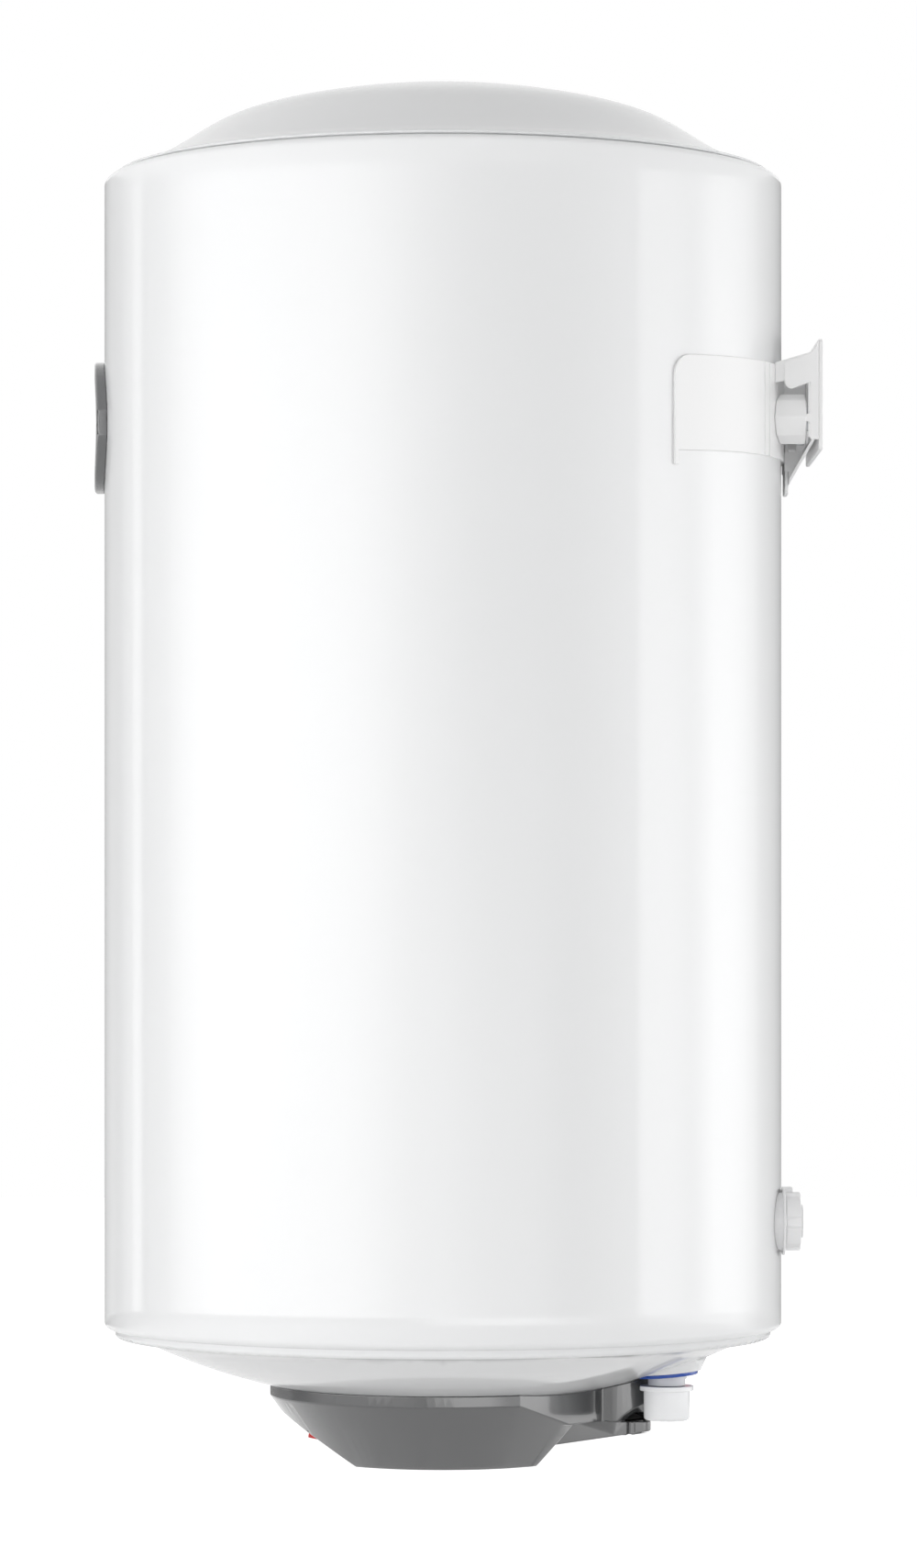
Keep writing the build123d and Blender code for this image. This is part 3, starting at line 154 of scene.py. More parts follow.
# %% Floor
floor_height = -1.1
floor_reach = 12.0
floor_own_light = 0.84
floor_in_mirrors = 0.95
mesh = bpy.data.meshes.new("studio_floor")
mesh.from_pydata([(x * floor_reach, y * floor_reach, floor_height)
                  for x, y in ((-1, -1), (1, -1), (1, 1), (-1, 1))], [], [(0, 1, 2, 3)])
floor = bpy.data.objects.new("studio_floor", mesh)
bpy.context.scene.collection.objects.link(floor)
floor_paint = bpy.data.materials.new("studio_floor")
floor_paint.use_nodes = True
tree = floor_paint.node_tree
tree.nodes.clear()
lit = node(tree, "ShaderNodeBsdfDiffuse", Color=(0.6, 0.6, 0.6, 1))
glow = node(tree, "ShaderNodeEmission", Color=(1, 1, 1, 1), Strength=floor_own_light)
both = node(tree, "ShaderNodeAddShader")
plain = node(tree, "ShaderNodeBsdfDiffuse", Color=(0.9, 0.9, 0.9, 1))
rays = node(tree, "ShaderNodeLightPath")
seen = calc(tree, "MAXIMUM", rays.outputs["Is Camera Ray"], rays.outputs["Is Transmission Ray"])
pick = node(tree, "ShaderNodeMixShader")
mirrored = node(tree, "ShaderNodeEmission", Color=(1, 1, 1, 1), Strength=floor_in_mirrors)
pick_mirrored = node(tree, "ShaderNodeMixShader")
floor_out = node(tree, "ShaderNodeOutputMaterial")
link(tree, lit.outputs[0], both.inputs[0], glow.outputs[0], both.inputs[1],
     seen, pick.inputs[0], plain.outputs[0], pick.inputs[1], both.outputs[0], pick.inputs[2],
     rays.outputs["Is Glossy Ray"], pick_mirrored.inputs[0], pick.outputs[0],
     pick_mirrored.inputs[1], mirrored.outputs[0], pick_mirrored.inputs[2],
     pick_mirrored.outputs[0], floor_out.inputs["Surface"])
mesh.materials.append(floor_paint)

# %% [markdown]
# ## The light tent
# A round white drum shows its studio as upright bands: a normal that is turned by an angle shows
# what stands at twice that angle. A tent of glowing cloth stands round the drum and the camera. Its
# panels differ in brightness, and where they change, a band begins on the enamel. The camera
# doesn't see the tent itself.
#
# Each layer of the tent is a brightness by turn, in degrees from the camera towards the wall, and a
# brightness by height. The layers add up: the cloth, a dim card low in the dark gap beside the
# camera, and a strip along the floor, mostly for the grey cover.

# %% Layers of the tent
tent_low, tent_high = -1.09, 0.85
full_glow = 0.92
cloth_by_turn = [(-180, 0.4), (-158, 0.5), (-149, 0.65), (-143, 0.45), (-137, 0.35),
                 (-134, 0.7), (-128, 0.7), (-126, 1.6), (-121, 1.5), (-119, 0.2), (-105, 0.5),
                 (-94, 2.0), (-82, 3.2), (-60, 3.4), (-31, 3.6), (-20, 3.0), (-15, 2.4),
                 (-8, 1.5), (-1, 1.0), (6, 0.45), (14, 0.1), (37, 0.25), (44, 0.6), (52, 1.2),
                 (66, 1.6), (69, 3.9), (80, 3.4), (90, 2.1), (102, 3.6), (115, 2.6), (134, 0.7),
                 (158, 0.3)]
cloth_by_height = [(-0.985, 0), (-0.975, 1.2), (-0.7, 1.15), (0.1, 1.0), (0.8, 0.78)]
card_by_turn = [(-14, 0), (0, 1.8), (30, 1.8), (44, 0)]
card_by_height = [(-1.0, 1.0), (-0.5, 0.8), (0.1, 0.2), (0.7, 0)]
strip_by_turn = [(-180, 0.3), (-60, 0.15), (-12, 0.3), (0, 1.2), (12, 2.5), (50, 2.5), (60, 1.2),
                 (75, 2.5), (114, 2.5), (130, 0.6), (180, 0.3)]
strip_by_height = [(-0.99, 1), (-0.96, 0)]
tent_layers = [(cloth_by_turn, cloth_by_height), (card_by_turn, card_by_height),
               (strip_by_turn, strip_by_height)]
print("Tent layers:", len(tent_layers))


# %% Ramps with real places
def ramp_between(tree, stops, low, high):
    """A ramp node whose stops are given as place and brightness, and the brightest stop."""
    top = max(value for place, value in stops)
    ramp = node(tree, "ShaderNodeValToRGB")
    while len(ramp.color_ramp.elements) < len(stops):
        ramp.color_ramp.elements.new(0.5)
    for element, (place, value) in zip(ramp.color_ramp.elements, stops):
        element.position = (place - low) / (high - low)
    for element, (place, value) in zip(ramp.color_ramp.elements, stops):
        element.color = (value / top, value / top, value / top, 1)
    return ramp.outputs[0], top


# %% Tent cloth
tent_radius, tent_steps = 4.5, 180
tent_mesh = bpy.data.meshes.new("light_tent")
tent_build = bmesh.new()
layer = tent_build.loops.layers.uv.new("UVMap")
corners = []
for step in range(tent_steps + 1):
    angle = math.radians(-180 + 360 * step / tent_steps)
    x, y = tent_radius * math.cos(angle), drum_y + tent_radius * math.sin(angle)
    corners.append([tent_build.verts.new((x, y, z)) for z in (tent_low, tent_high)])
for step in range(tent_steps):
    (a, b), (c, d) = corners[step], corners[step + 1]
    face = tent_build.faces.new((c, a, b, d))
    for loop in face.loops:
        along = step + (1 if loop.vert in (c, d) else 0)
        loop[layer].uv = (along / tent_steps, 0 if loop.vert in (a, c) else 1)
tent_build.to_mesh(tent_mesh)
tent = bpy.data.objects.new("light_tent", tent_mesh)
bpy.context.scene.collection.objects.link(tent)
tent.visible_camera = False
tent.visible_shadow = False

# %% Its glow
cloth = bpy.data.materials.new("tent_cloth")
cloth.use_nodes = True
tree = cloth.node_tree
tree.nodes.clear()
across = node(tree, "ShaderNodeUVMap", uv_map="UVMap")
parts = node(tree, "ShaderNodeSeparateXYZ")
glow = node(tree, "ShaderNodeEmission", Color=(1, 1, 1, 1))
cloth_out = node(tree, "ShaderNodeOutputMaterial")
link(tree, across.outputs[0], parts.inputs[0], glow.outputs[0], cloth_out.inputs["Surface"])
total = 0.0
for by_turn, by_height in tent_layers:
    turn_ramp, turn_top = ramp_between(tree, by_turn, -180, 180)
    height_ramp, height_top = ramp_between(tree, by_height, tent_low, tent_high)
    link(tree, parts.outputs[0], turn_ramp.node.inputs[0],
         parts.outputs[1], height_ramp.node.inputs[0])
    product = calc(tree, "MULTIPLY", turn_ramp, height_ramp)
    total = calc(tree, "MULTIPLY_ADD", product, full_glow * turn_top * height_top, total)
link(tree, total, glow.inputs["Strength"])
tent_mesh.materials.append(cloth)

# %% [markdown]
# ## Shared finishes
# Enamel, moulded plastic and metal each have a surface of their own: a faint ripple in the enamel,
# a fine grain on plastic, and brushed lines on metal. These are node groups, built once, which give
# only values and heights. Each material has its own shader and its own settings.

# %% Surface groups
def group_tree(name, inputs, outputs):
    """A shader node group with named inputs, as name and start value, and named outputs."""
    tree = bpy.data.node_groups.new(name, "ShaderNodeTree")
    for label, value in inputs:
        socket = tree.interface.new_socket(label, in_out="INPUT", socket_type="NodeSocketFloat")
        socket.default_value = value
    for label, kind in outputs:
        tree.interface.new_socket(label, in_out="OUTPUT", socket_type=kind)
    return tree, node(tree, "NodeGroupInput"), node(tree, "NodeGroupOutput")


ripple, given, result = group_tree(
    "surface_ripple", [("Scale", 60.0), ("Detail", 2.0), ("Roughness", 0.3), ("Spread", 0.05)],
    [("Height", "NodeSocketFloat"), ("Roughness", "NodeSocketFloat")])
place = node(ripple, "ShaderNodeTexCoord")
noise = node(ripple, "ShaderNodeTexNoise")
patches = node(ripple, "ShaderNodeTexNoise", Scale=9.0, Detail=3.0)
spread = calc(ripple, "MULTIPLY", calc(ripple, "SUBTRACT", patches.outputs[0], 0.5),
              given.outputs["Spread"])
link(ripple, place.outputs["Object"], noise.inputs["Vector"],
     place.outputs["Object"], patches.inputs["Vector"],
     given.outputs["Scale"], noise.inputs["Scale"], given.outputs["Detail"], noise.inputs["Detail"],
     noise.outputs[0], result.inputs["Height"],
     calc(ripple, "ADD", spread, given.outputs["Roughness"]), result.inputs["Roughness"])

shade, given, result = group_tree(
    "colour_drift", [("Scale", 14.0), ("Amount", 0.05)], [("Factor", "NodeSocketFloat")])
place = node(shade, "ShaderNodeTexCoord")
noise = node(shade, "ShaderNodeTexNoise", Detail=4.0)
link(shade, place.outputs["Object"], noise.inputs["Vector"],
     given.outputs["Scale"], noise.inputs["Scale"],
     calc(shade, "MULTIPLY", noise.outputs[0], given.outputs["Amount"]), result.inputs["Factor"])

brushed, given, result = group_tree(
    "brushed_lines", [("Scale", 900.0), ("Stretch", 0.04), ("Roughness", 0.35), ("Spread", 0.1)],
    [("Height", "NodeSocketFloat"), ("Roughness", "NodeSocketFloat")])
place = node(brushed, "ShaderNodeTexCoord")
apart = node(brushed, "ShaderNodeSeparateXYZ")
joined = node(brushed, "ShaderNodeCombineXYZ")
noise = node(brushed, "ShaderNodeTexNoise", Detail=3.0)
spread = calc(brushed, "MULTIPLY", noise.outputs[0], given.outputs["Spread"])
link(brushed, place.outputs["Object"], apart.inputs[0],
     calc(brushed, "MULTIPLY", apart.outputs[0], given.outputs["Stretch"]), joined.inputs[0],
     apart.outputs[1], joined.inputs[1], apart.outputs[2], joined.inputs[2],
     joined.outputs[0], noise.inputs["Vector"], given.outputs["Scale"], noise.inputs["Scale"],
     noise.outputs[0], result.inputs["Height"],
     calc(brushed, "ADD", spread, given.outputs["Roughness"]), result.inputs["Roughness"])


# %% One material
materials = {}


def finish(name, colour, second=None, surface="surface_ripple", scale=900, rough=0.35,
           spread=0.04, drift=0.06, drift_scale=14.0, bump=0.02, depth=0.0004, **sockets):
    """A material: a drifting colour, a surface group for height and roughness, and the shader."""
    made = bpy.data.materials.new(name)
    made.use_nodes = True
    tree = made.node_tree
    shader = tree.nodes["Principled BSDF"]
    for socket, value in sockets.items():
        shader.inputs[socket.replace("_", " ")].default_value = value
    skin = node(tree, "ShaderNodeGroup", node_tree=bpy.data.node_groups[surface],
                Scale=scale, Roughness=rough, Spread=spread)
    shading = node(tree, "ShaderNodeGroup", node_tree=bpy.data.node_groups["colour_drift"],
                   Scale=drift_scale, Amount=drift)
    tint = node(tree, "ShaderNodeMix", data_type="RGBA")
    tint.inputs[6].default_value = (*colour, 1)
    tint.inputs[7].default_value = (*(second or [0.8 * c for c in colour]), 1)
    height = node(tree, "ShaderNodeBump", Strength=bump, Distance=depth)
    link(tree, shading.outputs["Factor"], tint.inputs[0], tint.outputs[2],
         shader.inputs["Base Color"], skin.outputs["Roughness"], shader.inputs["Roughness"],
         skin.outputs["Height"], height.inputs["Height"], height.outputs["Normal"],
         shader.inputs["Normal"])
    materials[name] = made
    return made


# %% [markdown]
# Enamel is glass melted onto steel: its colour is soft and deep, and a thin clear coat on top gives
# the second, sharper reflection. The moulded lid and dish are shinier than the drum.

# %% White finishes
finish("jacket_enamel", (0.8, 0.805, 0.81), scale=420, rough=0.38, spread=0.02,
       Coat_Weight=0.7, Coat_Roughness=0.04)
finish("cap_plastic", (0.8, 0.805, 0.81), scale=700, rough=0.16, spread=0.02)
finish("dish_plastic", (0.8, 0.805, 0.81), scale=700, rough=0.08, spread=0.02,
       Specular_IOR_Level=0.25)
finish("bracket_paint", (0.86, 0.86, 0.86), scale=520, rough=0.3, bump=0.05)
finish("spacer_plastic", (0.86, 0.86, 0.865), rough=0.3)
finish("pad_plastic", (0.84, 0.84, 0.845), rough=0.35)
finish("bush_plastic", (0.72, 0.72, 0.72), rough=0.35)
finish("dial_face", (0.88, 0.88, 0.88), rough=0.5)
finish("pale_plastic", (0.94, 0.945, 0.955), scale=700, rough=0.1, Transmission_Weight=0.08,
       IOR=1.46)

# %% Coloured, grey and black plastics
finish("grey_plastic", (0.045, 0.046, 0.048), scale=1600, rough=0.25, bump=0.02,
       Coat_Weight=1.0, Coat_Roughness=0.09, Coat_IOR=1.75)
finish("badge_plastic", (0.1, 0.102, 0.105), scale=1600, rough=0.2, bump=0.02,
       Coat_Weight=1.0, Coat_Roughness=0.08)
finish("black_plastic", (0.012, 0.012, 0.013), scale=1800, bump=0.1)
finish("red_plastic", (0.62, 0.012, 0.01), rough=0.2)
finish("needle_red", (0.62, 0.012, 0.01), rough=0.35)
finish("blue_plastic", (0.006, 0.06, 0.36), rough=0.16)
finish("wire_brown", (0.12, 0.04, 0.015), rough=0.4)
finish("wire_blue", (0.02, 0.08, 0.4), rough=0.4)
finish("wire_green", (0.08, 0.3, 0.02), second=(0.7, 0.6, 0.02), drift=0.9, rough=0.4)
finish("gasket_rubber", (0.02, 0.02, 0.02), rough=0.7, bump=0.2)
finish("foam", (0.8, 0.66, 0.35), scale=260, rough=0.9, bump=0.6, depth=0.002)
finish("dial_ink", (0.02, 0.02, 0.022), rough=0.45)
finish("clear_lens", (1.0, 1.0, 1.0), rough=0.02, spread=0.0, drift=0.0, bump=0.0,
       Transmission_Weight=1.0, IOR=1.49)

# %% Metals and the tank's enamel
finish("tank_enamel", (0.06, 0.08, 0.12), scale=300, rough=0.3, bump=0.08)
for name, colour in (("zinc_steel", (0.55, 0.56, 0.58)), ("copper_tube", (0.72, 0.38, 0.22)),
                     ("brass", (0.72, 0.52, 0.22)), ("pipe_steel", (0.6, 0.61, 0.62)),
                     ("anode_metal", (0.5, 0.5, 0.5))):
    finish(name, colour, surface="brushed_lines", spread=0.1, Metallic=1.0)
print("Materials:", len(materials))

# %% [markdown]
# ## Tools for the pieces
# A CAD node is a set of loose triangles with knife-sharp edges. A real pressing or moulding has
# rounded edges, and each catches a thin line of light. So a node that shows is copied, its
# triangles are welded, and a Bevel modifier rounds its edges. The node stays for the motion.

# %% Settling a piece on its body
mm = 0.001


def settle(thing, body, slot, *nodes, finish_name=None):
    """Gives a piece its material, from its finish or else its slot, parents it to its body, and
    hides the nodes it stands for.
    """
    thing.data.materials.clear()
    thing.data.materials.append(materials[finish_name or slot])
    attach(thing, body)
    if nodes:
        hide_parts(*nodes)
    print(thing.name, len(thing.data.polygons), "faces")
    return thing


def new_piece(name, shape):
    """An object at the origin that shows a mesh."""
    thing = bpy.data.objects.new(name, shape)
    bpy.context.scene.collection.objects.link(thing)
    return thing


def round_edges(thing, width, segments=3, from_angle=28):
    """A Bevel modifier, in millimetres, on edges that turn by more than an angle."""
    bevel = thing.modifiers.new("rounded_edges", "BEVEL")
    bevel.width = width * mm
    bevel.segments = segments
    bevel.limit_method = "ANGLE"
    bevel.angle_limit = math.radians(from_angle)
    bevel.use_clamp_overlap = False
    bevel.harden_normals = True
    return bevel


# %% Softened copies of CAD nodes
slots = {part["node"]: part["material_slot"] for part in frame["record"]["subparts"]}
bodies = {name: body for body, names in frame["record"]["behaviour"]["bodies"].items()
          for name in names}


def softened(name, width, segments=3, flat=1.0, from_angle=28, finish_name=None):
    """A welded copy of a CAD node, with its edges rounded."""
    shape = frame["nodes"][name].data.copy()
    shape.name = "soft_" + name
    build = bmesh.new()
    build.from_mesh(shape)
    bmesh.ops.remove_doubles(build, verts=build.verts, dist=0.01 * mm)
    bmesh.ops.dissolve_limit(build, angle_limit=math.radians(flat), verts=build.verts,
                             edges=build.edges)
    build.to_mesh(shape)
    build.free()
    for polygon in shape.polygons:
        polygon.use_smooth = True
    shape.set_sharp_from_angle(angle=math.radians(from_angle))
    thing = new_piece("soft_" + name, shape)
    if width:
        round_edges(thing, width, segments, from_angle)
    return settle(thing, bodies[name], slots[name], name, finish_name=finish_name)


# %% [markdown]
# Geometry Nodes make what follows a rule. Each tree gets named inputs, and a piece sets them by the
# sockets' identifiers. The result is then made a plain mesh.

# %% Trees of Geometry Nodes
def new_tree(name, **inputs):
    """A Geometry Nodes tree, with its named inputs given by their start values."""
    tree = bpy.data.node_groups.new(name, "GeometryNodeTree")
    tree.interface.new_socket("Geometry", in_out="INPUT", socket_type="NodeSocketGeometry")
    tree.interface.new_socket("Geometry", in_out="OUTPUT", socket_type="NodeSocketGeometry")
    kinds = {int: "NodeSocketInt", float: "NodeSocketFloat", tuple: "NodeSocketVector"}
    for label, value in inputs.items():
        socket = tree.interface.new_socket(label, in_out="INPUT", socket_type=kinds[type(value)])
        socket.default_value = value
    tree.interface.new_socket("Material", in_out="INPUT", socket_type="NodeSocketMaterial")
    return tree, node(tree, "NodeGroupInput"), node(tree, "NodeGroupOutput")


def close_tree(tree, given, result, mesh):
    """Ends a tree: real copies, smooth faces, the material, and out."""
    real = node(tree, "GeometryNodeRealizeInstances")
    smooth = node(tree, "GeometryNodeSetShadeSmooth")
    paint = node(tree, "GeometryNodeSetMaterial")
    link(tree, mesh, real.inputs[0], real.outputs[0], smooth.inputs[0],
         smooth.outputs[0], paint.inputs[0], given.outputs["Material"], paint.inputs["Material"],
         paint.outputs[0], result.inputs[0])


def grow(thing, tree, finish_name, place=None, sharp=30, **values):
    """Runs a tree on a piece with these inputs, and leaves a plain closed mesh in its place."""
    modifier = thing.modifiers.new(tree.name, "NODES")
    modifier.node_group = tree
    values["Material"] = materials[finish_name]
    for item in tree.interface.items_tree:
        if item.in_out == "INPUT" and item.name in values:
            modifier[item.identifier] = values[item.name]
    bpy.context.view_layer.update()
    seen = thing.evaluated_get(bpy.context.evaluated_depsgraph_get())
    shape = bpy.data.meshes.new_from_object(seen)
    thing.modifiers.clear()
    if place:
        shape.transform(place)
    build = bmesh.new()
    build.from_mesh(shape)
    bmesh.ops.remove_doubles(build, verts=build.verts, dist=0.003 * mm)
    bmesh.ops.recalc_face_normals(build, faces=build.faces)
    build.to_mesh(shape)
    build.free()
    shape.set_sharp_from_angle(angle=math.radians(sharp))
    thing.data = shape
    return thing


# %% [markdown]
# ## Turned pieces
# The drum, its domed lid, the threads on the pipes and the knobs of the wall spacers are all a
# profile turned about an axis. The tree below makes a grid with one row for each point of the
# profile and one column for each step of the turn. A thread and a lobed knob only need one thing
# more: a wave that pushes some points in, and that runs round the axis, along it, or both.

# %% The lathe
lathe, given, result = new_tree("lathe", Steps=180, Lobes=1.0, Pitch=1.0, Depth=0.0, Share=0.0,
                                Flank=1.0)
count = node(lathe, "GeometryNodeAttributeDomainSize")
grid = node(lathe, "GeometryNodeMeshGrid")
index = node(lathe, "GeometryNodeInputIndex").outputs[0]
here = node(lathe, "GeometryNodeInputPosition").outputs[0]
relief = node(lathe, "GeometryNodeInputNamedAttribute", data_type="FLOAT", Name="relief")
row = calc(lathe, "MODULO", index, count.outputs["Point Count"])
column = calc(lathe, "FLOOR", calc(lathe, "DIVIDE", index, count.outputs["Point Count"]))
turn = calc(lathe, "MULTIPLY", calc(lathe, "DIVIDE", column, given.outputs["Steps"]), math.tau)
samples = []
for kind, value in (("FLOAT_VECTOR", here), ("FLOAT", relief.outputs[0])):
    sample = node(lathe, "GeometryNodeSampleIndex", data_type=kind)
    link(lathe, given.outputs[0], sample.inputs["Geometry"], value, sample.inputs["Value"],
         row, sample.inputs["Index"])
    samples.append(sample.outputs["Value"])
point = node(lathe, "ShaderNodeSeparateXYZ")
link(lathe, given.outputs[0], count.inputs[0], samples[0], point.inputs[0],
     count.outputs["Point Count"], grid.inputs["Vertices Y"],
     calc(lathe, "ADD", given.outputs["Steps"], 1), grid.inputs["Vertices X"])
phase = calc(lathe, "FRACT", calc(
    lathe, "ADD", calc(lathe, "DIVIDE", point.outputs["Z"], given.outputs["Pitch"]),
    calc(lathe, "MULTIPLY", given.outputs["Lobes"], calc(lathe, "DIVIDE", turn, math.tau))))
away = calc(lathe, "ABSOLUTE", calc(lathe, "MULTIPLY_ADD", phase, 2.0, -1.0))
wave = calc(lathe, "DIVIDE", calc(lathe, "SUBTRACT", away, given.outputs["Share"]),
            given.outputs["Flank"])
wave = calc(lathe, "MINIMUM", calc(lathe, "MAXIMUM", wave, 0.0), 1.0)
dip = calc(lathe, "MULTIPLY", calc(lathe, "MULTIPLY", wave, samples[1]), given.outputs["Depth"])
reach = calc(lathe, "SUBTRACT", point.outputs["X"], dip)
placed = node(lathe, "ShaderNodeCombineXYZ")
moved = node(lathe, "GeometryNodeSetPosition")
link(lathe, calc(lathe, "MULTIPLY", reach, calc(lathe, "COSINE", turn)), placed.inputs[0],
     calc(lathe, "MULTIPLY", reach, calc(lathe, "SINE", turn)), placed.inputs[1],
     point.outputs["Z"], placed.inputs[2], grid.outputs[0], moved.inputs["Geometry"],
     placed.outputs[0], moved.inputs["Position"])
close_tree(lathe, given, result, moved.outputs[0])


def turned(name, profile, finish_name, place, relief_rows=None, sharp=30, **values):
    """A piece turned from a profile of (radius, height) in millimetres."""
    shape = bpy.data.meshes.new(name)
    shape.from_pydata([(r * mm, 0, z * mm) for r, z in profile], [], [])
    shape.attributes.new("relief", "FLOAT", "POINT")
    if relief_rows:
        shape.attributes["relief"].data.foreach_set("value", relief_rows)
    return grow(new_piece(name, shape), lathe, finish_name, place, sharp, **values)


# %% Profiles
def arc(centre_r, centre_z, radius, start, end, steps=8):
    """Points of a profile along an arc, between two angles in degrees."""
    angles = [math.radians(start + (end - start) * i / steps) for i in range(steps + 1)]
    return [(centre_r + radius * math.cos(a), centre_z + radius * math.sin(a)) for a in angles]


def smooth_line(places, start_way, end_way, steps=12):
    """A smooth curve through places, with a direction at both ends."""
    places = np.array(places, dtype=float)
    gaps = np.linalg.norm(np.diff(places, axis=0), axis=1)
    size = len(places)
    matrix, right = np.eye(size), np.zeros((size, 2))
    right[0], right[-1] = np.array(start_way), np.array(end_way)
    for i in range(1, size - 1):
        before, after = gaps[i - 1], gaps[i]
        matrix[i, i - 1:i + 2] = 1 / before, 2 / before + 2 / after, 1 / after
        right[i] = 3 * ((places[i] - places[i - 1]) / before ** 2
                        + (places[i + 1] - places[i]) / after ** 2)
    ways = np.linalg.solve(matrix, right)
    points = []
    for i, gap in enumerate(gaps):
        for t in np.linspace(0, 1, steps, endpoint=i == size - 2):
            points.append((2 * t ** 3 - 3 * t ** 2 + 1) * places[i]
                          + (t ** 3 - 2 * t ** 2 + t) * gap * ways[i]
                          + (3 * t ** 2 - 2 * t ** 3) * places[i + 1]
                          + (t ** 3 - t ** 2) * gap * ways[i + 1])
    return [tuple(float(v) for v in p) for p in points]


# %% [markdown]
# The drum's jacket is a rolled sheet with a turned-in edge at the top and the bottom. The rolls are
# what shows the bright line along both rims.

# %% Jacket
on_axis = Matrix.Translation((0, drum_y, 0))
jacket_r, jacket_wall, roll = 225.0, 0.8, 4.6
jacket_top, jacket_bottom, lip_r, jacket_rows = 123.2, -638.0, 214.0, 40
middles = [(jacket_r, z)
           for z in np.linspace(jacket_top - roll, jacket_bottom + roll, jacket_rows)]
outside = (arc(jacket_r - roll, jacket_top - roll, roll, 90, 0) + middles[1:-1]
           + arc(jacket_r - roll, jacket_bottom + roll, roll, 0, -90))
inner_roll = roll - jacket_wall
inside = (arc(jacket_r - roll, jacket_bottom + roll, inner_roll, -90, 0)
          + arc(jacket_r - roll, jacket_top - roll, inner_roll, 0, 90))
profile = ([(lip_r, jacket_top)] + outside + [(lip_r, jacket_bottom)]
           + [(lip_r, jacket_bottom + jacket_wall)] + inside
           + [(lip_r, jacket_top - jacket_wall), (lip_r, jacket_top)])
jacket = turned("drum_jacket", profile, "jacket_enamel", on_axis, Steps=256)
settle(jacket, "heater", "jacket_enamel", "outer_jacket")

# %% [markdown]
# The lid is a shallow dome with a bead at its rim. The gap below the bead shows as a dark line, and
# a skirt reaches down inside the jacket.

# %% Lid
rim_r, rim_z, crown_rise, lid_wall = 218.0, 125.6, 58.4, 2.5
dome_form = ((0.275, 0.952), (0.505, 0.805), (0.688, 0.589), (0.826, 0.277))
dome = smooth_line([(0, rim_z + crown_rise)]
                   + [(share * rim_r, rim_z + rise * crown_rise) for share, rise in dome_form]
                   + [(rim_r, rim_z)], (1, 0), (0.98, -0.196))
skirt_r, skirt_low, dome_end_r = 213.7, 115.2, 212.5
skirt_in = skirt_r - lid_wall
rim = [(213.2, 126.6), (214.6, 125.9), (215.9, 126.1)] + arc(216.9, 125.5, 0.9, 90, -70, 8)
gap_r, gap_high, gap_low = 214.4, 124.4, jacket_top + 0.02
lid_profile = ([p for p in dome if p[0] < dome_end_r] + rim
               + [(gap_r, gap_high), (gap_r, gap_low), (skirt_r, gap_low), (skirt_r, skirt_low),
                  (skirt_in, skirt_low), (skirt_in, rim_z - lid_wall)]
               + [(r, z - lid_wall) for r, z in reversed(dome) if r < skirt_in - 2])
lid = turned("domed_lid", lid_profile, "cap_plastic", on_axis, Steps=256)
settle(lid, "heater", "cap_plastic", "top_cap")

# %% Underside dish
softened("bottom_cap", 0.0, flat=0.05, from_angle=34, finish_name="dish_plastic")

# %% [markdown]
# ## The grey cover
# It is one moulding: a band, a cone with a sloping front for the switch, and a neck that runs back
# between the pipes. Every crease between its facets is rounded by just under a millimetre.

# %% Cover, screws and switch
softened("terminal_cover", 0.8, flat=0.6, from_angle=13)
softened("cover_screws", 0.3, segments=2)
softened("switch_body", 0.3, segments=2)
softened("switch_rocker", 0.35, segments=3)

# %% [markdown]
# ## Water side
# The pipes are half inch pipe with a cut thread, which shows when the transport caps come off. The
# rings are blue for cold and red for hot.

# %% Threaded pipe ends
pipe_y, pipe_x, pipe_r, bore_r = 147.0, 50.0, 10.48, 8.0
pipe_end, thread_end, thread_pitch, thread_depth = -693.0, -672.6, 1.814, 1.1
chamfer_in, chamfer_up, rows_a_pitch = 0.9, 0.6, 8
thread_rows = int((thread_end - pipe_end) / thread_pitch * rows_a_pitch)
thread = [(pipe_r, z) for z in np.linspace(pipe_end + chamfer_up, thread_end, thread_rows)]
pipe_root, collar_top, inner_r, dip_r = -626.95, -613.95, 6.9, 7.9
for name, side in (("cold_inlet_pipe", 1), ("hot_outlet_pipe", -1)):
    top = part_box(name)[1][2] / mm
    upper = [(pipe_r, min(top, collar_top))]
    if top > collar_top + 1:
        upper += [(dip_r, collar_top), (dip_r, top)]
    pipe_profile = ([(bore_r, pipe_end), (pipe_r - chamfer_in, pipe_end)] + thread + upper
                    + [(inner_r, upper[-1][1]), (inner_r, pipe_root), (bore_r, pipe_root),
                       (bore_r, pipe_end)])
    relief_rows = [0.0, 0.0] + [1.0] * (len(thread) - 1) + [0.0] * (len(upper) + 5)
    place = Matrix.Translation((side * pipe_x * mm, drum_y + pipe_y * mm, 0))
    pipe = turned("threaded_" + name, pipe_profile, "pipe_steel", place, relief_rows,
                  Steps=48, Lobes=1.0, Pitch=thread_pitch * mm, Depth=thread_depth * mm)
    settle(pipe, "heater", "pipe_steel", name)

# %% Rings, bushes and transport caps
for name in ("cold_ring", "hot_ring", "cold_bush", "hot_bush"):
    softened(name, 0.4, segments=2)
for name in ("cold_pipe_cap", "hot_pipe_cap"):
    softened(name, 0.5, segments=3)

# %% [markdown]
# ## Thermometer
# The badge is a round grey moulding that follows the drum. Its dial is generic: a ring of ticks, a
# few numbers, and a band that goes from blue to red.

# %% Badge and needle
softened("thermometer_bezel", 1.1, segments=4)
softened("thermometer_needle", 0.12, segments=2)

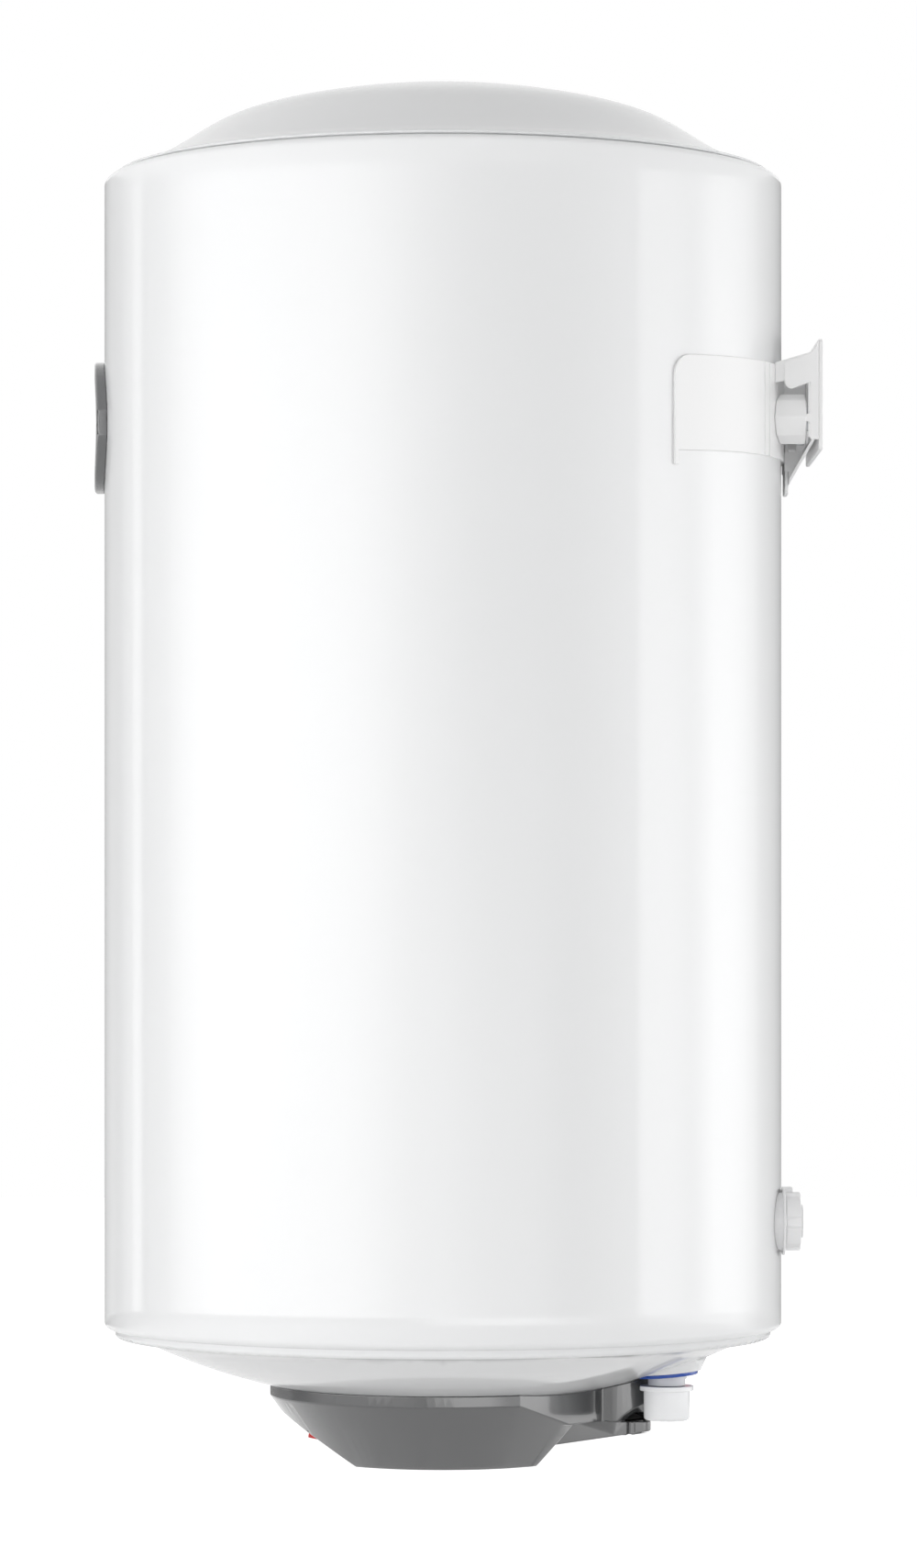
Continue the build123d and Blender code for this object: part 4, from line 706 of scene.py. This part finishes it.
# %% Ticks
ticks, given, result = new_tree("marks_on_an_arc", Count=17, Radius=0.03, Start=0.0, Span=1.0,
                                Size=(0.001, 0.003, 0.0001))
line = node(ticks, "GeometryNodeMeshLine")
bar = node(ticks, "GeometryNodeMeshCube")
index = node(ticks, "GeometryNodeInputIndex").outputs[0]
angle = calc(ticks, "ADD", given.outputs["Start"], calc(
    ticks, "MULTIPLY", given.outputs["Span"],
    calc(ticks, "DIVIDE", index, calc(ticks, "SUBTRACT", given.outputs["Count"], 1))))
spot = node(ticks, "ShaderNodeCombineXYZ")
spin = node(ticks, "ShaderNodeCombineXYZ")
seat = node(ticks, "GeometryNodeSetPosition")
copies = node(ticks, "GeometryNodeInstanceOnPoints")
link(ticks, given.outputs["Count"], line.inputs["Count"], given.outputs["Size"],
     bar.inputs["Size"],
     calc(ticks, "MULTIPLY", given.outputs["Radius"], calc(ticks, "SINE", angle)), spot.inputs[0],
     calc(ticks, "MULTIPLY", given.outputs["Radius"], calc(ticks, "COSINE", angle)),
     spot.inputs[1], calc(ticks, "MULTIPLY", angle, -1.0), spin.inputs[2],
     line.outputs[0], seat.inputs["Geometry"], spot.outputs[0], seat.inputs["Position"],
     seat.outputs[0], copies.inputs["Points"], bar.outputs[0], copies.inputs["Instance"],
     spin.outputs[0], copies.inputs["Rotation"])
close_tree(ticks, given, result, copies.outputs[0])

badge_z, dial_front, tick_r = -40.0, drum_y - 226.4 * mm, 30.5
scale_start, scale_span = math.radians(-125), math.radians(250)


def to_front(z_mm, y):
    """Turns a flat piece to face the front, at a height in millimetres and a depth in metres."""
    return Matrix(((1, 0, 0, 0), (0, 0, -1, y), (0, 1, 0, z_mm * mm), (0, 0, 0, 1)))


on_dial = to_front(badge_z, dial_front)
for name, count, length, width in (("minor_ticks", 17, 2.0, 0.45), ("major_ticks", 5, 3.4, 0.9)):
    marks = grow(new_piece(name, bpy.data.meshes.new(name)), ticks, "dial_ink", on_dial,
                 Count=count, Radius=(tick_r - length / 2) * mm, Start=scale_start,
                 Span=scale_span, Size=(width * mm, length * mm, 0.12 * mm))
    settle(marks, "heater", "dial_face", finish_name="dial_ink")

# %% Numbers
def lettering(name, words, size, x, z, place, body, slot):
    """Raised words, made a mesh before they are put in place."""
    text = bpy.data.curves.new(name, "FONT")
    text.body, text.size, text.extrude = words, size * mm, 0.06 * mm
    text.align_x = text.align_y = "CENTER"
    text.resolution_u = 3
    thing = new_piece(name, text)
    bpy.context.view_layer.update()
    shape = bpy.data.meshes.new_from_object(
        thing.evaluated_get(bpy.context.evaluated_depsgraph_get()))
    bpy.data.objects.remove(thing)
    shape.transform(place @ Matrix.Translation((x * mm, z * mm, 0)))
    return settle(new_piece(name, shape), body, slot, finish_name="dial_ink")


number_r, number_size = 22.6, 5.2
for step, words in enumerate(("0", "20", "40", "60", "80")):
    angle = scale_start + scale_span * step / 4
    lettering("dial_number_" + words, words, number_size, number_r * math.sin(angle),
              number_r * math.cos(angle), on_dial, "heater", "dial_face")
lettering("dial_unit", "°C", 5.5, 0, -12, on_dial, "heater", "dial_face")

# %% Warm band
band_tree, given, result = new_tree("arc_band", Steps=60, Start=0.0, Span=1.0, Inner=0.01,
                                    Thin=0.001, Thick=0.003)
grid = node(band_tree, "GeometryNodeMeshGrid", **{"Vertices Y": 2})
index = node(band_tree, "GeometryNodeInputIndex").outputs[0]
along = calc(band_tree, "DIVIDE", calc(band_tree, "FLOOR", calc(band_tree, "DIVIDE", index, 2)),
             calc(band_tree, "SUBTRACT", given.outputs["Steps"], 1))
width = calc(band_tree, "ADD", given.outputs["Thin"], calc(
    band_tree, "MULTIPLY", along,
    calc(band_tree, "SUBTRACT", given.outputs["Thick"], given.outputs["Thin"])))
reach = calc(band_tree, "ADD", given.outputs["Inner"],
             calc(band_tree, "MULTIPLY", width, calc(band_tree, "MODULO", index, 2)))
angle = calc(band_tree, "ADD", given.outputs["Start"],
             calc(band_tree, "MULTIPLY", given.outputs["Span"], along))
spot = node(band_tree, "ShaderNodeCombineXYZ")
seat = node(band_tree, "GeometryNodeSetPosition")
store = node(band_tree, "GeometryNodeStoreNamedAttribute", data_type="FLOAT", Name="warmth")
link(band_tree, given.outputs["Steps"], grid.inputs["Vertices X"],
     calc(band_tree, "MULTIPLY", reach, calc(band_tree, "SINE", angle)), spot.inputs[0],
     calc(band_tree, "MULTIPLY", reach, calc(band_tree, "COSINE", angle)), spot.inputs[1],
     grid.outputs[0], store.inputs["Geometry"], along, store.inputs["Value"],
     store.outputs[0], seat.inputs["Geometry"], spot.outputs[0], seat.inputs["Position"])
close_tree(band_tree, given, result, seat.outputs[0])

print_ink = finish("warmth_print", (0.02, 0.12, 0.6), rough=0.5)
tree = print_ink.node_tree
warmth = node(tree, "ShaderNodeAttribute", attribute_name="warmth")
blend = node(tree, "ShaderNodeMix", data_type="RGBA")
blend.inputs[6].default_value = (0.02, 0.14, 0.65, 1)
blend.inputs[7].default_value = (0.65, 0.015, 0.01, 1)
link(tree, warmth.outputs["Fac"], blend.inputs[0], blend.outputs[2],
     tree.nodes["Principled BSDF"].inputs["Base Color"])
band = grow(new_piece("warm_band", bpy.data.meshes.new("warm_band")), band_tree, "warmth_print",
            to_front(badge_z, dial_front - 0.05 * mm), Steps=60, Start=scale_start,
            Span=scale_span, Inner=14.5 * mm, Thin=0.6 * mm, Thick=3.2 * mm)
settle(band, "heater", "dial_face", finish_name="warmth_print")

# %% [markdown]
# The rocker has the two usual marks, a bar for on and a ring for off. Both are print on its two
# sloping faces, so they tilt with it.

# %% Marks on the rocker
slope_rise, slope_run, switch_y, switch_z = 30.0, 45.0, -81.0, -710.0
rocker_lift, rocker_end, rocker_middle, rocker_half = 1.2, 3.4, 2.2, 7.13
slope_turn = math.atan2(slope_rise, slope_run)
rest_tilt = math.radians(12)
face_tilt = math.atan2(rocker_end - rocker_middle, rocker_half)
pivot = np.array((0, drum_y + switch_y * mm, switch_z * mm)) + rocker_lift * mm * np.array(
    (0, -math.sin(slope_turn), -math.cos(slope_turn)))


def on_rocker(along, height, lean):
    """A place on the rocker, turned to lie in its face: along its length, and above its pivot."""
    turn = slope_turn - rest_tilt
    up = np.array((0, -math.cos(turn), math.sin(turn)))
    out = np.array((0, -math.sin(turn), -math.cos(turn)))
    spot = pivot + up * along * mm + out * height * mm
    y_way = up * math.cos(lean) + out * math.sin(lean)
    z_way = out * math.cos(lean) - up * math.sin(lean)
    x_way = np.cross(y_way, z_way)
    return Matrix([[x_way[i], y_way[i], z_way[i], spot[i]] for i in range(3)] + [[0, 0, 0, 1]])


above_face = 0.06
for name, along in (("mark_off", -4.0), ("mark_on", 4.0)):
    lean = math.copysign(face_tilt, along)
    height = rocker_middle + abs(along) * math.tan(face_tilt) + above_face
    place = on_rocker(along, height, lean)
    mark = new_piece(name, bpy.data.meshes.new(name))
    if name == "mark_off":
        grow(mark, band_tree, "dial_face", place, Steps=40, Start=0.0, Span=math.tau,
             Inner=1.5 * mm, Thin=0.5 * mm, Thick=0.5 * mm)
    else:
        grow(mark, ticks, "dial_face", place, Count=2, Radius=0.0, Start=0.0, Span=0.0,
             Size=(0.6 * mm, 4.0 * mm, 0.08 * mm))
    settle(mark, "rocker", "red_plastic", finish_name="dial_face")

# %% [markdown]
# ## Wall bracket
# One thick white pressing holds the drum: a band round its back, two cheeks, a plate with hanging
# slots, a brace and a tongue. The edges of such a pressing are rounded by the press and the paint.

# %% Band, plate, brace, tongue, bosses and bolts
for name, width in (("wall_bracket", 0.6), ("wall_plate", 0.5), ("bracket_brace", 0.4),
                    ("bracket_tongue", 0.6), ("bracket_bosses", 1.2), ("bracket_bolts", 0.6),
                    ("bracket_cheeks", 0.5)):
    softened(name, width)

# %% [markdown]
# Each cheek carries a raised tongue, pressed into it from behind, whose lower edge hooks round to
# the strip along the plate.

# %% Flat slabs
def flat_piece(name, outline, low, high, width):
    """A slab in the plane of the drum's side: its outline is (from the axis, height), in mm."""
    shape = bpy.data.meshes.new(name)
    build = bmesh.new()
    ends = [[build.verts.new((x * mm, drum_y + y * mm, z * mm)) for y, z in outline]
            for x in (low, high)]
    build.faces.new(ends[0])
    build.faces.new(list(reversed(ends[1])))
    for i in range(len(outline)):
        j = (i + 1) % len(outline)
        build.faces.new((ends[0][j], ends[0][i], ends[1][i], ends[1][j]))
    bmesh.ops.recalc_face_normals(build, faces=build.faces)
    build.to_mesh(shape)
    build.free()
    thing = new_piece(name, shape)
    round_edges(thing, width, 2)
    return thing


# %% Raised tongues
tongue = ([(245.7, -53.4), (245.7, 11.0), (244.8, 11.0), (243.6, 6.2), (240.0, 2.8),
           (223.5, -2.8)] + arc(228.6, -15.4, 5.1, 180, 262, 6)
          + [(240.4, -16.0), (240.4, -34.5)] + arc(237.9, -34.5, 2.5, 0, -60, 3)
          + [(231.0, -36.9), (231.0, -42.0)] + arc(237.6, -44.2, 2.6, 70, 0, 3) + [(240.4, -53.4)])
for hand, low, high in (("right", 65.9, 66.9), ("left", -66.9, -65.9)):
    settle(flat_piece("cheek_tongue_" + hand, tongue, low, high, 0.3), "heater", "bracket_paint")

# %% [markdown]
# Beside each cheek, two narrow upright folds stiffen the band.

# %% Folds beside the cheeks
strap_r, fold_low, fold_high, fold_turns = 227.2, -65.5, -5.0, (67.2, 69.6)
fold_size = Matrix.Diagonal((1.0 * mm, 0.7 * mm, (fold_high - fold_low) * mm, 1))
for hand, side in (("right", 1), ("left", -1)):
    for step, turn in enumerate(fold_turns):
        build = bmesh.new()
        bmesh.ops.create_cube(build, size=1.0)
        angle = math.radians(turn if side > 0 else 180 - turn)
        build.transform(Matrix.Translation((strap_r * mm * math.cos(angle),
                                            drum_y + strap_r * mm * math.sin(angle),
                                            (fold_low + fold_high) / 2 * mm))
                        @ Matrix.Rotation(angle, 4, "Z") @ fold_size)
        shape = bpy.data.meshes.new("band_fold")
        build.to_mesh(shape)
        build.free()
        fold = new_piece("band_fold_%s_%d" % (hand, step + 1), shape)
        round_edges(fold, 0.25, 2)
        settle(fold, "heater", "bracket_paint")

# %% [markdown]
# A lamp beside the camera lights only the bracket, which would else be lost in the drum's shadow.

# %% Bracket lamp
bracket_pieces = bpy.data.collections.new("bracket_pieces")
for thing in list(bpy.context.scene.objects):
    if [slot.name for slot in thing.material_slots][:1] == ["bracket_paint"]:
        bracket_pieces.objects.link(thing)
lamp_data = bpy.data.lights.new("bracket_lamp", "AREA")
lamp_data.energy, lamp_data.size = 30.0, 0.6
lamp = bpy.data.objects.new("bracket_lamp", lamp_data)
lamp.location = (3.2, -0.1, -0.25)
bracket_middle = Vector((0.06, -0.01, -0.03))
away = lamp.location - bracket_middle
lamp.rotation_euler = away.to_track_quat("Z", "Y").to_euler()
lamp.visible_glossy = False
lamp.light_linking.receiver_collection = bracket_pieces
bpy.context.scene.collection.objects.link(lamp)

# %% [markdown]
# ## Wall spacers
# Each has a base on the drum, a knob with six flat lobes, and a pad that meets the wall.

# %% Knobs
knob_r, knob_low, knob_high, knob_bore = 19.2, 225.3, 235.2, 5.05
spacer_x, spacer_z = 40.0, -566.0
edge, flat_r = 0.8, knob_r - 2.6
knob_profile = ([(knob_bore, knob_low), (flat_r, knob_low), (knob_r - edge, knob_low)]
                + arc(knob_r - edge, knob_low + edge, edge, -90, 0, 4)
                + arc(knob_r - edge, knob_high - edge, edge, 0, 90, 4)
                + [(flat_r, knob_high), (knob_bore, knob_high), (knob_bore, knob_low)])
relief_rows = [0.0, 0.0] + [1.0] * (len(knob_profile) - 5) + [0.0, 0.0, 0.0]
for hand, side in (("left", -1), ("right", 1)):
    to_wall = Matrix(((-1, 0, 0, side * spacer_x * mm), (0, 0, 1, drum_y),
                      (0, 1, 0, spacer_z * mm), (0, 0, 0, 1)))
    knob = turned("lobed_knob_" + hand, knob_profile, "spacer_plastic", to_wall, relief_rows,
                  Steps=240, Lobes=6.0, Pitch=1000.0, Depth=1.5 * mm, Share=0.62, Flank=0.1)
    settle(knob, "knob_" + hand, "spacer_plastic", "spacer_knob_" + hand)
    softened("spacer_base_" + hand, 0.5)
    softened("spacer_pad_" + hand, 0.3)

# %% [markdown]
# ## The rest
# What is left keeps its CAD mesh, and takes its material from its slot.

# %% Materials for the CAD nodes
for name, part in frame["nodes"].items():
    part.data.materials.clear()
    part.data.materials.append(materials[slots[name]])
